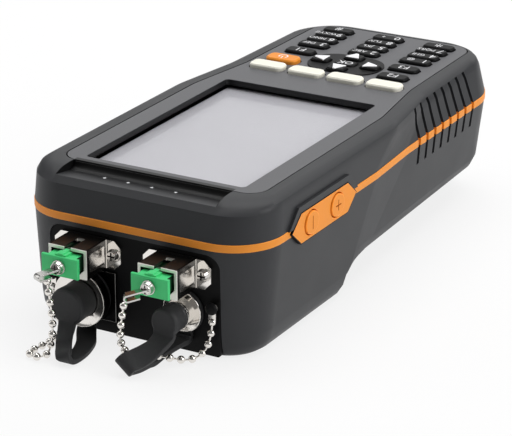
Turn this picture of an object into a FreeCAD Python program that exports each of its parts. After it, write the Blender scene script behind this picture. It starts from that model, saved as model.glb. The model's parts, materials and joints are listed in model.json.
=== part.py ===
import FreeCAD, Part
import math
import os
from FreeCAD import Vector

# Driving dimensions, millimetres
body_length = 178.0
head_width = 83.0
handle_width = 79.6
tail_width = 78.6
body_height = 48.0
seam_share = 0.7375
band_height = 2.4
band_proud = 0.2
wall = 2.6
window_width = 55.0
window_length = 85.3
panel_thickness = 2.0
key_travel = 0.7

# Clearances
running_gap = 0.35
seat_gap = 0.1
groove_gap = 0.4

# Places worked out from the driving dimensions
seam_height = seam_share * body_height
front_y = -body_length / 2
rear_y = body_length / 2
head_half = head_width / 2
handle_half = handle_width / 2
tail_half = tail_width / 2
face_z = body_height
seam_low = seam_height - band_height / 2
seam_high = seam_height + band_height / 2
window_front = front_y + 18.0
window_rear = window_front + window_length

# Plan outline at the seam: corner radii and the waist between head and handle
corner_front = 16.0
corner_rear = 22.0
waist_blend = 40.0
waist_seam = (front_y + 0.427 * body_length, front_y + 0.573 * body_length)
waist_face = (front_y + 0.528 * body_length, front_y + 0.685 * body_length)

# Upper shell sections: depth below the face, then insets of head, handle, tail, front and rear
upper_rows = (
    (face_z - seam_high, 0.0, 0.0, 0.0, 0.0, 0.0),
    (3.2, 0.3, 2.4, 3.6, 1.7, 0.8),
    (1.5, 0.9, 3.3, 4.6, 4.0, 1.4),
    (0.6, 2.2, 4.4, 5.8, 6.6, 2.2),
    (0.15, 4.2, 6.4, 7.4, 8.8, 3.2),
    (0.0, 7.0, 8.8, 9.3, 11.0, 4.6),
)

# Lower shell sections: height, insets as above, waist places as shares of the length, waist radius
lower_rows = (
    (seam_low, 0.0, 0.0, 0.0, 0.0, 0.0, 0.427, 0.573, waist_blend),
    (14.0, 1.7, 1.0, 3.2, 0.45, 1.5, 0.37, 0.45, 14.0),
    (10.6, 2.0, 1.8, 5.0, 0.55, 2.8, 0.362, 0.43, 9.0),
    (8.8, 2.15, 3.6, 7.2, 0.6, 4.8, 0.356, 0.412, 6.0),
    (7.8, 2.25, 6.6, 9.8, 0.65, 7.4, 0.352, 0.403, 4.0),
    (7.2, 2.3, 10.4, 12.4, 0.7, 10.0, 0.348, 0.396, 3.0),
    (4.0, 2.9, 12.6, 14.0, 0.95, 11.8, 0.343, 0.388, 3.0),
    (1.6, 4.2, 13.8, 15.0, 1.7, 13.0, 0.337, 0.382, 3.0),
    (0.4, 6.0, 14.6, 15.6, 3.0, 13.8, 0.331, 0.374, 2.5),
    (0.0, 7.6, 15.2, 16.2, 4.6, 14.4, 0.326, 0.365, 2.0),
)

# Face panel outline and its seat
panel_head = 34.2
panel_handle = 30.2
panel_tail = 29.2
panel_front = window_front - 3.7
panel_rear = rear_y - 5.1
ledge_side = 1.5
ledge_rear = 1.2
ledge_front = 1.2
roof_z = face_z - 4.2

# Status-light scoop in front of the panel
scoop_left = -29.0
scoop_right = 26.0
scoop_depth = 2.9
scoop_rise = 1.3
scoop_run = 9.5
led_first_x = -15.6
led_pitch = 8.2
led_radius = 0.8
led_setback = 4.2

# Side grip slots
slot_count = 8
slot_first = 0.118 * body_length
slot_pitch = 0.0329 * body_length
slot_width = 1.7
slot_depth = 1.2
slot_low = seam_height - 7.4
slot_high = face_z - 1.4

# Side rocker surround and its two keys
rocker_y = window_front + 22.4
rocker_length = 40.6
rocker_flat = 29.4
rocker_height = 9.4
rocker_face = head_half + 1.0
rocker_back = head_half - wall
rim_margin = 2.2
rim_proud = 0.8
side_key_spacing = 16.2
side_key_long = 8.0
side_key_high = 7.2
side_key_proud = 0.5

# Display stack below the panel
lens_thickness = 1.2
lens_margin = 2.0
display_thickness = 3.4
display_margin = 1.6
board_thickness = 1.6
board_inset = 2.2
dome_height = 0.6

# Keys on the face: width, depth, height above the face. Depths are shares of the keypad's length
keypad_length = panel_rear - window_rear
soft_key = (12.2, 0.089 * keypad_length, 1.5)
power_key_size = (11.4, 0.089 * keypad_length, 1.5)
function_key = (10.6, 0.075 * keypad_length, 1.1)
arrow_key = (6.6, 0.072 * keypad_length, 1.4)
ok_key_size = (7.6, 0.066 * keypad_length, 1.0)
number_key = (11.0, 0.066 * keypad_length, 1.1)
arrow_reach = (9.2, 0.092 * keypad_length)
soft_pitch = 14.4
column_pitch = 19.2
key_round = 0.34
flange_over = 0.45
flange_thickness = 0.8
key_crown = 0.5
plunger_radius = 1.6
bezel_size = (26.0, 0.267 * keypad_length, 0.4)
bezel_round = 0.46

# Connector bay on the front of the lower shell
bay_half = 29.3
bay_top = seam_low - 1.5
bay_corner = 4.5
bay_depth = 3.4
bay_wall = 7.0
cavity_floor = 11.4
pocket_floor = 3.2
pocket_length = 48.0
plate_front = front_y + 0.8
plate_thickness = 2.6
plate_foot = 0.8

# Square adapters
adapter_x = 15.35
adapter_z = bay_top - 6.2
adapter_width = 13.1
adapter_height = 9.2
adapter_wall = 0.9
adapter_reach = 10.8
adapter_tail = 12.0
socket_depth = 9.6
socket_chamfer = 2.0
recess_depth = 0.4
recess_high = 5.6
keyway_width = 2.4
keyway_length = 7.5
flange_width = 23.0
flange_height = 9.0
flange_chamfer = 2.2
adapter_flange = 1.2
screw_spacing = 18.0
screw_head_radius = 1.9
screw_head_height = 1.3
screw_shank = 3.4
sleeve_radius = 1.6
ferrule_radius = 1.25
sleeve_length = 6.5

# Green plugs
plug_width = 12.6
plug_height = 6.3
plug_grip = 1.4
plug_gap = 3.0
plug_insert = 8.0
plug_neck_width = 9.6
plug_neck_height = 5.8
plug_neck_chamfer = 1.2
plug_rib = (3.8, 3.6)
plug_key = (1.7, 3.9, 2.0)
tag_left = (-2.4, -5.2, -0.4)
tag_right = (-4.8, -3.0, -1.6)

# Power-meter and visible-light ports, in the room below the adapters
port_room = adapter_z - adapter_height / 2
pm_x = -15.1
pm_z = 0.582 * port_room
pm_flange = (18.2, 15.8, 1.0)
pm_ring_radius = port_room - pm_z - 0.15
pm_ring_back = plate_front - 3.4
pm_ring_front = plate_front - 7.0
pm_neck_radius = 6.2
pm_barrel_radius = 4.0
pm_cap_radius = 5.9
pm_cap_face = window_front - 29.4
vfl_x = 17.3
vfl_z = 0.632 * port_room
vfl_rim_radius = 6.45
vfl_rim_back = plate_front - 1.25
vfl_rim_front = plate_front - 2.05
vfl_stem_radius = 4.8
vfl_neck_radius = 4.3
vfl_neck_end = plate_front - 5.2
vfl_barrel_radius = 2.6
vfl_cap_radius = 4.6
vfl_cap_face = window_front - 27.5
dish_depth = 1.0
dish_radius = pm_cap_radius - 0.2
port_back = plate_front + 8.0
cap_fit = 0.3
cap_end = 1.8
cap_taper = 0.5
strap_thickness = 1.8
strap_width = 5.8
strap_ring = 1.0
strap_ring_wide = 1.8

# Places of the strap rings behind the ports' rims
pm_strap_ring = (plate_front - pm_flange[2] + pm_ring_back) / 2
vfl_strap_ring = (plate_front + vfl_rim_back) / 2

# Strap routes: forward of the cap's face, sideways sway, height
pm_route = (
    (1.05, 0.0, pm_z + 2.4), (1.05, 0.0, pm_z - 3.4), (1.3, 0.1, 7.9), (2.4, 0.4, 6.3), (4.7, 1.3, 4.9),
    (7.5, 2.8, 4.2), (10.3, 4.6, 4.0), (12.3, 5.8, 3.7), (13.2, 6.5, 2.7), (12.6, 6.8, 1.7),
    (11.0, 6.7, 1.15), (7.5, 5.8, 1.05), (3.0, 4.2, 1.05), (-2.0, 2.2, 1.1), (-6.0, 0.7, 1.3),
    (-8.3, 0.1, 1.9), (-9.5, 0.0, 3.0), (-10.0, 0.0, 4.4), (-10.05, 0.0, pm_z - 7.4),
)
vfl_route = (
    (1.05, 0.0, vfl_z + 2.0), (1.05, 0.0, vfl_z - 2.8), (1.4, -0.1, 9.7), (2.7, -0.5, 8.4), (5.1, -1.4, 7.2),
    (7.9, -3.0, 5.9), (10.7, -4.8, 4.8), (13.0, -6.2, 4.0), (13.7, -6.7, 2.8), (13.0, -6.6, 1.7),
    (11.0, -5.7, 1.15), (6.0, -3.4, 1.05), (0.0, -1.2, 1.05), (-5.0, -0.2, 1.2), (-7.3, 0.0, 1.8),
    (-8.6, 0.0, 3.0), (-9.15, 0.0, 4.4), (-9.25, 0.0, vfl_z - 8.4),
)

# Bead chains
chain_diameter = 2.4
anchor_x = 27.6
anchor_z = 0.52 * bay_top

# Chain routes from the plug's tag, over the table, up to the anchor: across, forward of the plate, height
left_route = (
    (-16.7, 20.9, adapter_z - 3.1), (-17.2, 20.9, adapter_z - 9.0), (-17.8, 20.8, 10.6), (-17.5, 20.8, 5.0),
    (-16.8, 22.2, 2.1), (-16.5, 24.4, 1.3), (-17.8, 26.2, 1.3), (-20.0, 26.6, 1.3), (-21.9, 25.3, 1.3),
    (-22.5, 21.0, 1.3), (-23.2, 15.8, 1.3), (-24.7, 10.6, 1.4), (-26.4, 5.8, 2.8),
    (-27.5, 2.7, anchor_z - 9.2), (-27.6, 1.75, anchor_z - 4.4),
)
right_route = (
    (9.4, 20.8, adapter_z - 5.4), (8.0, 20.2, adapter_z - 11.4), (6.9, 19.2, 8.6), (6.9, 16.6, 4.0),
    (12.6, 13.9, 3.6), (18.6, 11.8, 4.0), (23.6, 7.6, 2.0), (26.2, 4.0, 3.5), (27.5, 2.3, anchor_z - 9.0),
    (27.6, 1.75, anchor_z - 4.4),
)

# Measuring block behind the adapters
optical_length = 24.0
optical_drop = 9.0

# Battery bay in the hump under the handle
battery_half = 18.0
battery_front = -0.028 * body_length
battery_rear = rear_y - 24.0
cover_thickness = 2.0
bay_room = 1.0
cover_gap = 0.2
battery_top = 0.44 * body_height

# Case screws under the body
case_screw_head = (2.5, 1.5)
case_screw_shank = (1.3, 4.0)
case_boss = (3.6, 6.0)

os.makedirs("parts", exist_ok=True)


def block(x0, x1, y0, y1, z0, z1):
    """Box between two corners."""
    return Part.makeBox(x1 - x0, y1 - y0, z1 - z0, Vector(x0, y0, z0))


def rod(radius, length, base, axis):
    """Cylinder from base along axis."""
    return Part.makeCylinder(radius, length, base, axis)


def rounded(points, radii, z):
    """Closed wire at height z through the corner points, each corner rounded to its radius."""
    corners = []
    for i, (x, y) in enumerate(points):
        corner = Vector(x, y, z)
        back = (Vector(*points[i - 1], z) - corner).normalize()
        ahead = (Vector(*points[(i + 1) % len(points)], z) - corner).normalize()
        half = back.getAngle(ahead) / 2
        cut = radii[i] / math.tan(half)
        middle = corner + (back + ahead).normalize() * (radii[i] / math.sin(half) - radii[i])
        corners.append((corner + back * cut, middle, corner + ahead * cut))
    edges = []
    for i, (start, middle, stop) in enumerate(corners):
        edges.append(Part.Arc(start, middle, stop).toShape())
        edges.append(Part.LineSegment(stop, corners[(i + 1) % len(corners)][0]).toShape())
    return Part.Wire(edges)


def outline(z, head, handle, tail, front, rear, waist, radii):
    """Body plan at height z: wide head, waist, tapering handle. radii are front, waist, rear."""
    points = [(-head, front), (head, front), (head, waist[0]), (handle, waist[1]), (tail, rear),
              (-tail, rear), (-handle, waist[1]), (-head, waist[0])]
    turns = [radii[0], radii[0], radii[1], radii[1], radii[2], radii[2], radii[1], radii[1]]
    return rounded(points, turns, z)


def loft(wires):
    """Solid through closed wires with straight rulings."""
    return Part.makeLoft(wires, True, True)


def prism(wire, height):
    """Solid from a flat closed wire, raised along Z."""
    return Part.Face(wire).extrude(Vector(0, 0, height))


def rounded_rectangle(cx, cy, width, depth, radius, z):
    """Rounded rectangle wire centred on cx, cy."""
    x, y = width / 2, depth / 2
    corners = [(cx - x, cy - y), (cx + x, cy - y), (cx + x, cy + y), (cx - x, cy + y)]
    return rounded(corners, [radius] * 4, z)


def fused(shapes):
    """One clean solid from several."""
    return shapes[0].multiFuse(shapes[1:]).removeSplitter()


def upper_outline(row, inset, z):
    """Upper shell section of a row, moved in by inset, at height z."""
    depth, head, handle, tail, front, rear = row
    rise = (face_z - depth - seam_high) / (face_z - seam_high)
    waist = [low + (high - low) * rise for low, high in zip(waist_seam, waist_face)]
    radii = (corner_front - 0.6 * front - inset, waist_blend, corner_rear - 1.05 * tail - inset)
    return outline(z, head_half - head - inset, handle_half - handle - inset, tail_half - tail - inset,
                   front_y + front + inset, rear_y - rear - inset, waist, radii)


def lower_outline(row, inset, z):
    """Lower shell section of a row, moved in by inset, at height z."""
    height, head, handle, tail, front, rear, waist_a, waist_b, waist_radius = row
    waist = (front_y + waist_a * body_length, front_y + waist_b * body_length)
    radii = (corner_front - head * 0.9 - inset, waist_radius, corner_rear - tail * 0.85 - inset)
    return outline(z, head_half - head - inset, handle_half - handle - inset, tail_half - tail - inset,
                   front_y + front + inset, rear_y - rear - inset, waist, radii)


def upper_body(inset):
    """Outer form of the upper shell, moved in by inset."""
    return loft([upper_outline(row, inset, face_z - row[0]) for row in upper_rows])


def lower_body(inset):
    """Outer form of the lower shell, moved in by inset."""
    return loft([lower_outline(row, inset, row[0]) for row in lower_rows])


def seam_outline(offset, z):
    """Plan outline at the seam, moved out by offset."""
    return lower_outline(lower_rows[0], -offset, z)


def hexagon(margin, x0, x1):
    """Long hexagonal prism of the side rocker, grown by margin, between two planes of constant x."""
    long_half = rocker_length / 2 + margin * 1.2
    flat_half = rocker_flat / 2 + margin * 0.6
    high_half = rocker_height / 2 + margin
    corners = [(-long_half, 0), (-flat_half, high_half), (flat_half, high_half),
               (long_half, 0), (flat_half, -high_half), (-flat_half, -high_half)]
    points = [Vector(x0, rocker_y + y, seam_height + z) for y, z in corners]
    return Part.Face(Part.makePolygon(points + points[:1])).extrude(Vector(x1 - x0, 0, 0))


def grip_slots():
    """Volume of the side slots: thin slices outside an inset body, on both sides of the handle."""
    core = [lower_body(slot_depth), prism(seam_outline(-slot_depth, seam_low), band_height),
            upper_body(slot_depth)]
    slices = []
    for i in range(slot_count):
        y = slot_first + i * slot_pitch
        for x0, x1 in ((-head_half - 2.0, -tail_half / 2), (tail_half / 2, head_half + 2.0)):
            slices.append(block(x0, x1, y - slot_width / 2, y + slot_width / 2, slot_low, slot_high))
    return Part.makeCompound(slices).cut(core)


def make_lower_shell(slots):
    """Deep head, shallower handle and the battery hump, hollow, with the connector bay in front."""
    shell = lower_body(0.0)
    floor_row = (cavity_floor, 4.6, 5.0, 8.4, bay_wall, 6.2, 0.37, 0.45, 10.0)
    top_row = (seam_low, wall, wall, wall, bay_wall, wall, 0.427, 0.573, waist_blend)
    cavity = loft([lower_outline(floor_row, 0, floor_row[0]), lower_outline(top_row, 0, seam_low)])
    pocket_y = front_y + bay_wall + 1.0 + pocket_length / 2
    pocket = prism(rounded_rectangle(0, pocket_y, 0.8 * head_width, pocket_length, 6.0, pocket_floor),
                   cavity_floor - pocket_floor + 0.5)
    bay = rounded([(-bay_half, -1.0), (bay_half, -1.0), (bay_half, bay_top), (-bay_half, bay_top)],
                  [0.2, 0.2, bay_corner, bay_corner], 0)
    bay_cut = Part.Face(bay).extrude(Vector(0, 0, bay_depth + 4.0))
    bay_cut.rotate(Vector(0, 0, 0), Vector(1, 0, 0), 90)
    bay_cut.translate(Vector(0, front_y + bay_depth, 0))
    cuts = [cavity, pocket, bay_cut, hexagon(seat_gap, rocker_back - 2.0, rocker_face + 1.0)]
    bay_side = battery_half + bay_room
    cuts += [block(-bay_side, bay_side, battery_front - bay_room, battery_rear + bay_room, -1.0,
                   cavity_floor + 0.5)]
    cuts += port_holes(front_y, front_y + bay_wall + 2.0)
    return shell.cut([slots] + cuts).fuse(screw_bosses()).cut(case_screw_holes())


def port_holes(y0, y1):
    """Holes for the four connectors between two planes of constant y."""
    holes = []
    for side in (-1, 1):
        half_w = adapter_width / 2 + seat_gap
        half_h = adapter_height / 2 + seat_gap
        x = side * adapter_x
        holes.append(block(x - half_w, x + half_w, y0, y1, adapter_z - half_h, adapter_z + half_h))
    holes.append(rod(pm_barrel_radius + seat_gap, y1 - y0, Vector(pm_x, y0, pm_z), Vector(0, 1, 0)))
    holes.append(rod(vfl_stem_radius + seat_gap, y1 - y0, Vector(vfl_x, y0, vfl_z), Vector(0, 1, 0)))
    return holes


def case_screw_places():
    """Plan places of the four case screws."""
    front = [(side * 0.29 * head_width, front_y + 13.5) for side in (-1, 1)]
    return front + [(side * 0.14 * tail_width, rear_y - 18.6) for side in (-1, 1)]


def case_screw_holes():
    """Counterbored holes of the case screws."""
    holes = []
    for x, y in case_screw_places():
        holes.append(rod(2.8, 3.0, Vector(x, y, -1.0), Vector(0, 0, 1)))
        holes.append(rod(1.4, 8.0, Vector(x, y, 0), Vector(0, 0, 1)))
    return holes


def screw_bosses():
    """Bosses that the front case screws run into."""
    return [rod(*case_boss, Vector(x, y, 2.0), Vector(0, 0, 1)) for x, y in case_screw_places()[:2]]


def make_case_screws():
    """Countersunk case screws under the body."""
    screws = []
    for x, y in case_screw_places():
        head = rod(*case_screw_head, Vector(x, y, 0.5), Vector(0, 0, 1))
        shank = rod(*case_screw_shank, Vector(x, y, 1.9), Vector(0, 0, 1))
        screws.append(fused([head, shank]))
    return Part.makeCompound(screws)


def panel_outline(grow, z):
    """Face panel outline grown by grow."""
    return outline(z, panel_head + grow, panel_handle + grow, panel_tail + grow, panel_front - grow,
                   panel_rear + grow, waist_face, (6.0 + grow, 30.0, 7.0 + grow))


def make_upper_shell(slots):
    """Upper shell with the panel seat, the status-light scoop and the raised rim over the rocker."""
    shell = upper_body(0.0)
    rim = hexagon(rim_margin, rocker_back, head_half + rim_proud)
    above = block(0, head_half + 5.0, rocker_y - 40.0, rocker_y + 40.0, seam_high, face_z - 4.0)
    shell = fused([shell, rim.common(above)])
    low_row = (face_z - seam_high, wall, wall, wall, wall, wall)
    high_row = (face_z - roof_z, wall + 0.4, wall + 2.2, wall + 3.4, wall + 2.0, wall + 1.0)
    cavity = loft([upper_outline(low_row, 0, seam_high), upper_outline(high_row, 0, roof_z)])
    seat = prism(panel_outline(groove_gap, face_z - panel_thickness), panel_thickness + 1.0)
    inner = outline(roof_z - 1.0, panel_head - ledge_side, panel_handle - ledge_side,
                    panel_tail - ledge_side, panel_front + ledge_front, panel_rear - ledge_rear, waist_face,
                    (4.0, 30.0, 5.0))
    opening = prism(inner, face_z - roof_z + 2.0)
    cuts = [cavity, seat, opening, scoop(), hexagon(seat_gap, rocker_back - 2.0, rocker_face + 1.0)]
    for x, y in led_places():
        cuts.append(rod(led_radius, 6.0, Vector(x, y, roof_z - 2.0), Vector(0, 0, 1)))
    return shell.cut([slots] + cuts)


def scoop():
    """Wedge cut in front of the panel: a wall below the panel's edge and a floor that runs out forward."""
    back_y = panel_front - groove_gap
    floor_z = face_z - scoop_depth
    slope = scoop_rise / scoop_run
    far = front_y - 3.0
    profile = [(back_y, face_z + 1.0), (back_y, floor_z), (far, floor_z + (back_y - far) * slope),
               (far, face_z + 1.0)]
    points = [Vector(scoop_left, y, z) for y, z in profile]
    return Part.Face(Part.makePolygon(points + points[:1])).extrude(Vector(scoop_right - scoop_left, 0, 0))


def led_places():
    """Plan places of the status lights on the scoop's floor."""
    y = panel_front - led_setback
    return [(led_first_x + i * led_pitch, y) for i in range(4)]


def make_led_lenses():
    """Four small light pipes set in the scoop's floor."""
    slope = scoop_rise / scoop_run
    lenses = []
    for x, y in led_places():
        top = face_z - scoop_depth + (panel_front - groove_gap - y) * slope + 0.1
        base = Vector(x, y, roof_z - 1.0)
        lenses.append(rod(led_radius - seat_gap / 2, top - base.z, base, Vector(0, 0, 1)))
    return Part.makeCompound(lenses)


def make_seam_band(slots):
    """Rubber ring in the seam with the rocker surround, dipping into every grip slot."""
    ring = prism(seam_outline(band_proud, seam_low), band_height)
    ring = ring.cut(prism(seam_outline(-wall, seam_low), band_height))
    surround = hexagon(0.0, rocker_back, rocker_face)
    holes = [side_key_oval(y, running_gap, rocker_back - 2.0, rocker_face + 2.0) for y in side_key_places()]
    return fused([ring, surround]).cut(holes + [slots])


def side_key_places():
    """Places along Y of the minus and plus side keys."""
    return [rocker_y - 0.5 + side * side_key_spacing / 2 for side in (-1, 1)]


def side_key_oval(y, grow, x0, x1):
    """Oval prism of a side key between two planes of constant x."""
    ellipse = Part.Ellipse(Vector(0, 0, 0), side_key_long / 2 + grow, side_key_high / 2 + grow)
    solid = Part.Face(Part.Wire([ellipse.toShape()])).extrude(Vector(0, 0, x1 - x0))
    turn = FreeCAD.Rotation(Vector(0, 1, 0), Vector(0, 0, 1), Vector(1, 0, 0), "XYZ")
    solid.Placement = FreeCAD.Placement(Vector(x0, y, seam_height), turn)
    return solid


def make_side_key(y):
    """Oval push key with an inner flange behind the surround."""
    cap = side_key_oval(y, 0.0, rocker_back - running_gap - flange_thickness, rocker_face + side_key_proud)
    flange = side_key_oval(y, flange_over + running_gap, rocker_back - running_gap - flange_thickness,
                           rocker_back - running_gap)
    return fused([cap, flange])


def make_face_panel(keys):
    """Face panel with the window and a hole for every key."""
    bottom = face_z - panel_thickness
    panel = prism(panel_outline(0.0, bottom), panel_thickness)
    middle = (window_front + window_rear) / 2
    window = rounded_rectangle(0, middle, window_width, window_length, 1.5, bottom - 1)
    cuts = [prism(window, panel_thickness + 2)]
    for x, y, size, radius in keys:
        cuts.append(prism(rounded_rectangle(x, y, size[0] + 2 * running_gap, size[1] + 2 * running_gap,
                                            radius + running_gap, bottom - 1), panel_thickness + 2))
    return panel.cut(cuts)


def make_plate(width, length, thickness, top):
    """Plain rounded plate under the window."""
    middle = (window_front + window_rear) / 2
    return prism(rounded_rectangle(0, middle, width, length, 1.5, top - thickness), thickness)


def board_top():
    """Height of the main board's upper face."""
    return face_z - panel_thickness - lens_thickness - display_thickness


def make_main_board():
    """Circuit board carrying the display and the key domes."""
    low = board_top() - board_thickness
    front = window_front - 2.0
    wire = outline(low, panel_head - board_inset, panel_handle - board_inset, panel_tail - board_inset, front,
                   panel_rear - 2 * board_inset, waist_face, (3.0, 20.0, 8.0))
    return prism(wire, board_thickness)


def make_key_domes(keys):
    """Metal snap domes on the board, one under each key."""
    return Part.makeCompound([rod(1.9, dome_height, Vector(x, y, board_top()), Vector(0, 0, 1))
                              for x, y, size, radius in keys])


def key_zone(fraction):
    """Place along Y between the window's rear edge and the panel's rear edge."""
    return window_rear + fraction * (panel_rear - window_rear)


def key_table():
    """Every face key, named as read from the keypad end: name to centre, size and corner radius."""
    places = {"soft_key_%d" % (i + 1): ((1.5 - i) * soft_pitch, key_zone(0.25), soft_key) for i in range(4)}
    places["power_key"] = (-column_pitch - 1.4, key_zone(0.375), power_key_size)
    places["function_key_left"] = (-column_pitch - 0.6, key_zone(0.53), function_key)
    places["function_key_right_1"] = (column_pitch + 0.8, key_zone(0.385), function_key)
    places["function_key_right_2"] = (column_pitch + 0.2, key_zone(0.522), function_key)
    nav_y = key_zone(0.457)
    for name, side, ahead in (("right", -1, 0), ("left", 1, 0), ("up", 0, -1), ("down", 0, 1)):
        places["arrow_key_" + name] = (side * arrow_reach[0], nav_y + ahead * arrow_reach[1], arrow_key)
    places["ok_key"] = (0.0, nav_y, ok_key_size)
    labels = ("1", "2", "3", "4", "5", "6", "7", "8", "9", "star", "0", "hash")
    for i, label in enumerate(labels):
        column, row = i % 3, i // 3
        y = key_zone(0.65 + 0.088 * row)
        places["number_key_" + label] = ((1 - column) * column_pitch, y, number_key)
    return {name: (x, y, size, key_round * size[1]) for name, (x, y, size) in places.items()}


def make_key(x, y, size, radius):
    """Moulded key: crowned cap, retaining flange under the panel and a plunger over its dome."""
    width, depth, height = size
    flange_top = face_z - panel_thickness - running_gap
    low = flange_top - flange_thickness
    plunger = board_top() + dome_height + key_travel + running_gap
    shoulder = face_z + height - key_crown
    cap = prism(rounded_rectangle(x, y, width, depth, radius, low), shoulder - low)
    crown = loft([rounded_rectangle(x, y, width, depth, radius, shoulder),
                  rounded_rectangle(x, y, width - 2 * key_crown, depth - 2 * key_crown, radius - key_crown,
                                    face_z + height)])
    flange = prism(rounded_rectangle(x, y, width + 2 * flange_over, depth + 2 * flange_over,
                                     radius + flange_over, low), flange_thickness)
    stem = rod(plunger_radius, low - plunger, Vector(x, y, plunger), Vector(0, 0, 1))
    return fused([cap, crown, flange, stem])


def make_nav_bezel(keys):
    """Thin black oval plate on the panel round the arrow and centre keys."""
    y = keys["ok_key"][1]
    oval = rounded_rectangle(0, y, bezel_size[0], bezel_size[1], bezel_round * bezel_size[1], face_z)
    bezel = prism(oval, bezel_size[2])
    cuts = []
    for name in ("arrow_key_left", "arrow_key_right", "arrow_key_down", "arrow_key_up", "ok_key"):
        cx, cy, size, radius = keys[name]
        cuts.append(prism(rounded_rectangle(cx, cy, size[0] + 2 * running_gap, size[1] + 2 * running_gap,
                                            radius + running_gap, face_z - 1), 3))
    return bezel.cut(cuts)


def make_connector_plate():
    """Flat black plate in the bay that carries the four connectors."""
    half = bay_half - seat_gap
    top = bay_top - seat_gap
    wire = rounded([(-half, plate_foot), (half, plate_foot), (half, top), (-half, top)],
                   [1.0, 1.0, bay_corner - seat_gap, bay_corner - seat_gap], 0)
    plate = Part.Face(wire).extrude(Vector(0, 0, plate_thickness))
    plate.rotate(Vector(0, 0, 0), Vector(1, 0, 0), 90)
    plate.translate(Vector(0, plate_front + plate_thickness, 0))
    return plate.cut(port_holes(plate_front - 1.0, plate_front + plate_thickness + 1.0) + screw_holes())


def screw_places():
    """Flange screw places of both adapters."""
    return [side * adapter_x + ear * screw_spacing / 2 for side in (-1, 1) for ear in (-1, 1)]


def screw_holes():
    """Holes of the flange screws through flange and plate."""
    return [rod(1.1, 5.0, Vector(x, plate_front - adapter_flange - 1.0, adapter_z), Vector(0, 1, 0))
            for x in screw_places()]


def keyed(x, half_w, half_h, chamfer, y0, y1):
    """Block along Y on an adapter's axis with its two lower corners cut off."""
    corners = [(half_w, half_h), (half_w, chamfer - half_h), (half_w - chamfer, -half_h),
               (chamfer - half_w, -half_h), (-half_w, chamfer - half_h), (-half_w, half_h)]
    points = [Vector(x + dx, y0, adapter_z + dz) for dx, dz in corners]
    return Part.Face(Part.makePolygon(points + points[:1])).extrude(Vector(0, y1 - y0, 0))


def make_adapter(x):
    """Square metal adapter: eared flange, keyed tube with a recess in each side, block behind."""
    rim = plate_front - adapter_flange - adapter_reach
    half_w, half_h = adapter_width / 2, adapter_height / 2
    ear_w, ear_h = flange_width / 2, flange_height / 2
    short_w, short_h = ear_w - flange_chamfer, ear_h - flange_chamfer
    corners = [(short_w, -ear_h), (ear_w, -short_h), (ear_w, short_h), (short_w, ear_h),
               (-short_w, ear_h), (-ear_w, short_h), (-ear_w, -short_h), (-short_w, -ear_h)]
    points = [Vector(x + dx, plate_front - adapter_flange, adapter_z + dz) for dx, dz in corners]
    flange = Part.Face(Part.makePolygon(points + points[:1])).extrude(Vector(0, adapter_flange, 0))
    body = block(x - half_w, x + half_w, rim, plate_front + adapter_tail,
                 adapter_z - half_h, adapter_z + half_h)
    socket = keyed(x, half_w - adapter_wall, half_h - adapter_wall, socket_chamfer, rim - 1.0,
                   rim + socket_depth)
    recesses = [block(x + side * half_w - recess_depth, x + side * half_w + recess_depth, rim + 2.4,
                      plate_front - adapter_flange - 1.2, adapter_z - recess_high / 2,
                      adapter_z + recess_high / 2) for side in (-1, 1)]
    keyway = block(x - keyway_width / 2, x + keyway_width / 2, rim - 1.0, rim + keyway_length,
                   adapter_z, adapter_z + half_h + 1.0)
    base = Vector(x, rim + 1.0, adapter_z)
    bore = rod(sleeve_radius, adapter_reach + adapter_tail, base, Vector(0, 1, 0))
    return fused([flange, body]).cut([socket, keyway, bore] + recesses + screw_holes())


def make_sleeves():
    """Split ceramic alignment sleeves in the two adapters."""
    rim = plate_front - adapter_flange - adapter_reach
    sleeves = []
    for side in (-1, 1):
        base = Vector(side * adapter_x, rim + socket_depth - 2.0, adapter_z)
        tube = rod(sleeve_radius, sleeve_length, base, Vector(0, 1, 0))
        sleeves.append(tube.cut(rod(ferrule_radius, sleeve_length, base, Vector(0, 1, 0))))
    return Part.makeCompound(sleeves)


def make_adapter_screws():
    """Pan-head screws in the adapter ears."""
    face = plate_front - adapter_flange
    screws = []
    for x in screw_places():
        head = rod(screw_head_radius, screw_head_height, Vector(x, face - screw_head_height, adapter_z),
                   Vector(0, 1, 0))
        shank = rod(1.0, screw_shank, Vector(x, face, adapter_z), Vector(0, 1, 0))
        screws.append(fused([head, shank]))
    return Part.makeCompound(screws)


def make_plug(x):
    """Green dust plug: thin face plate, hollow neck that goes into the adapter, low rib and key."""
    rim = plate_front - adapter_flange - adapter_reach
    plate_back = rim - plug_gap
    start = plate_back - plug_grip / 2
    plate = block(x - plug_width / 2, x + plug_width / 2, plug_face(), plate_back,
                  adapter_z - plug_height / 2, adapter_z + plug_height / 2)
    plate = plate.makeFillet(0.4, [edge for edge in plate.Edges if abs(edge.tangentAt(0).y) < 0.5])
    neck = keyed(x, plug_neck_width / 2, plug_neck_height / 2, plug_neck_chamfer, start, rim + plug_insert)
    rib_wide, rib_high = plug_rib
    rib = block(x - rib_wide / 2, x + rib_wide / 2, start, rim - running_gap, adapter_z, adapter_z + rib_high)
    key_wide, key_high, key_long = plug_key
    key = block(x - key_wide / 2, x + key_wide / 2, start, rim + key_long, adapter_z, adapter_z + key_high)
    bore = rod(sleeve_radius + 0.5, plug_insert, Vector(x, rim + 0.5, adapter_z), Vector(0, 1, 0))
    return fused([plate, neck, rib, key]).cut(bore)


def plug_face():
    """Place along Y of the plugs' outer faces."""
    return plate_front - adapter_flange - adapter_reach - plug_gap - plug_grip


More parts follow.
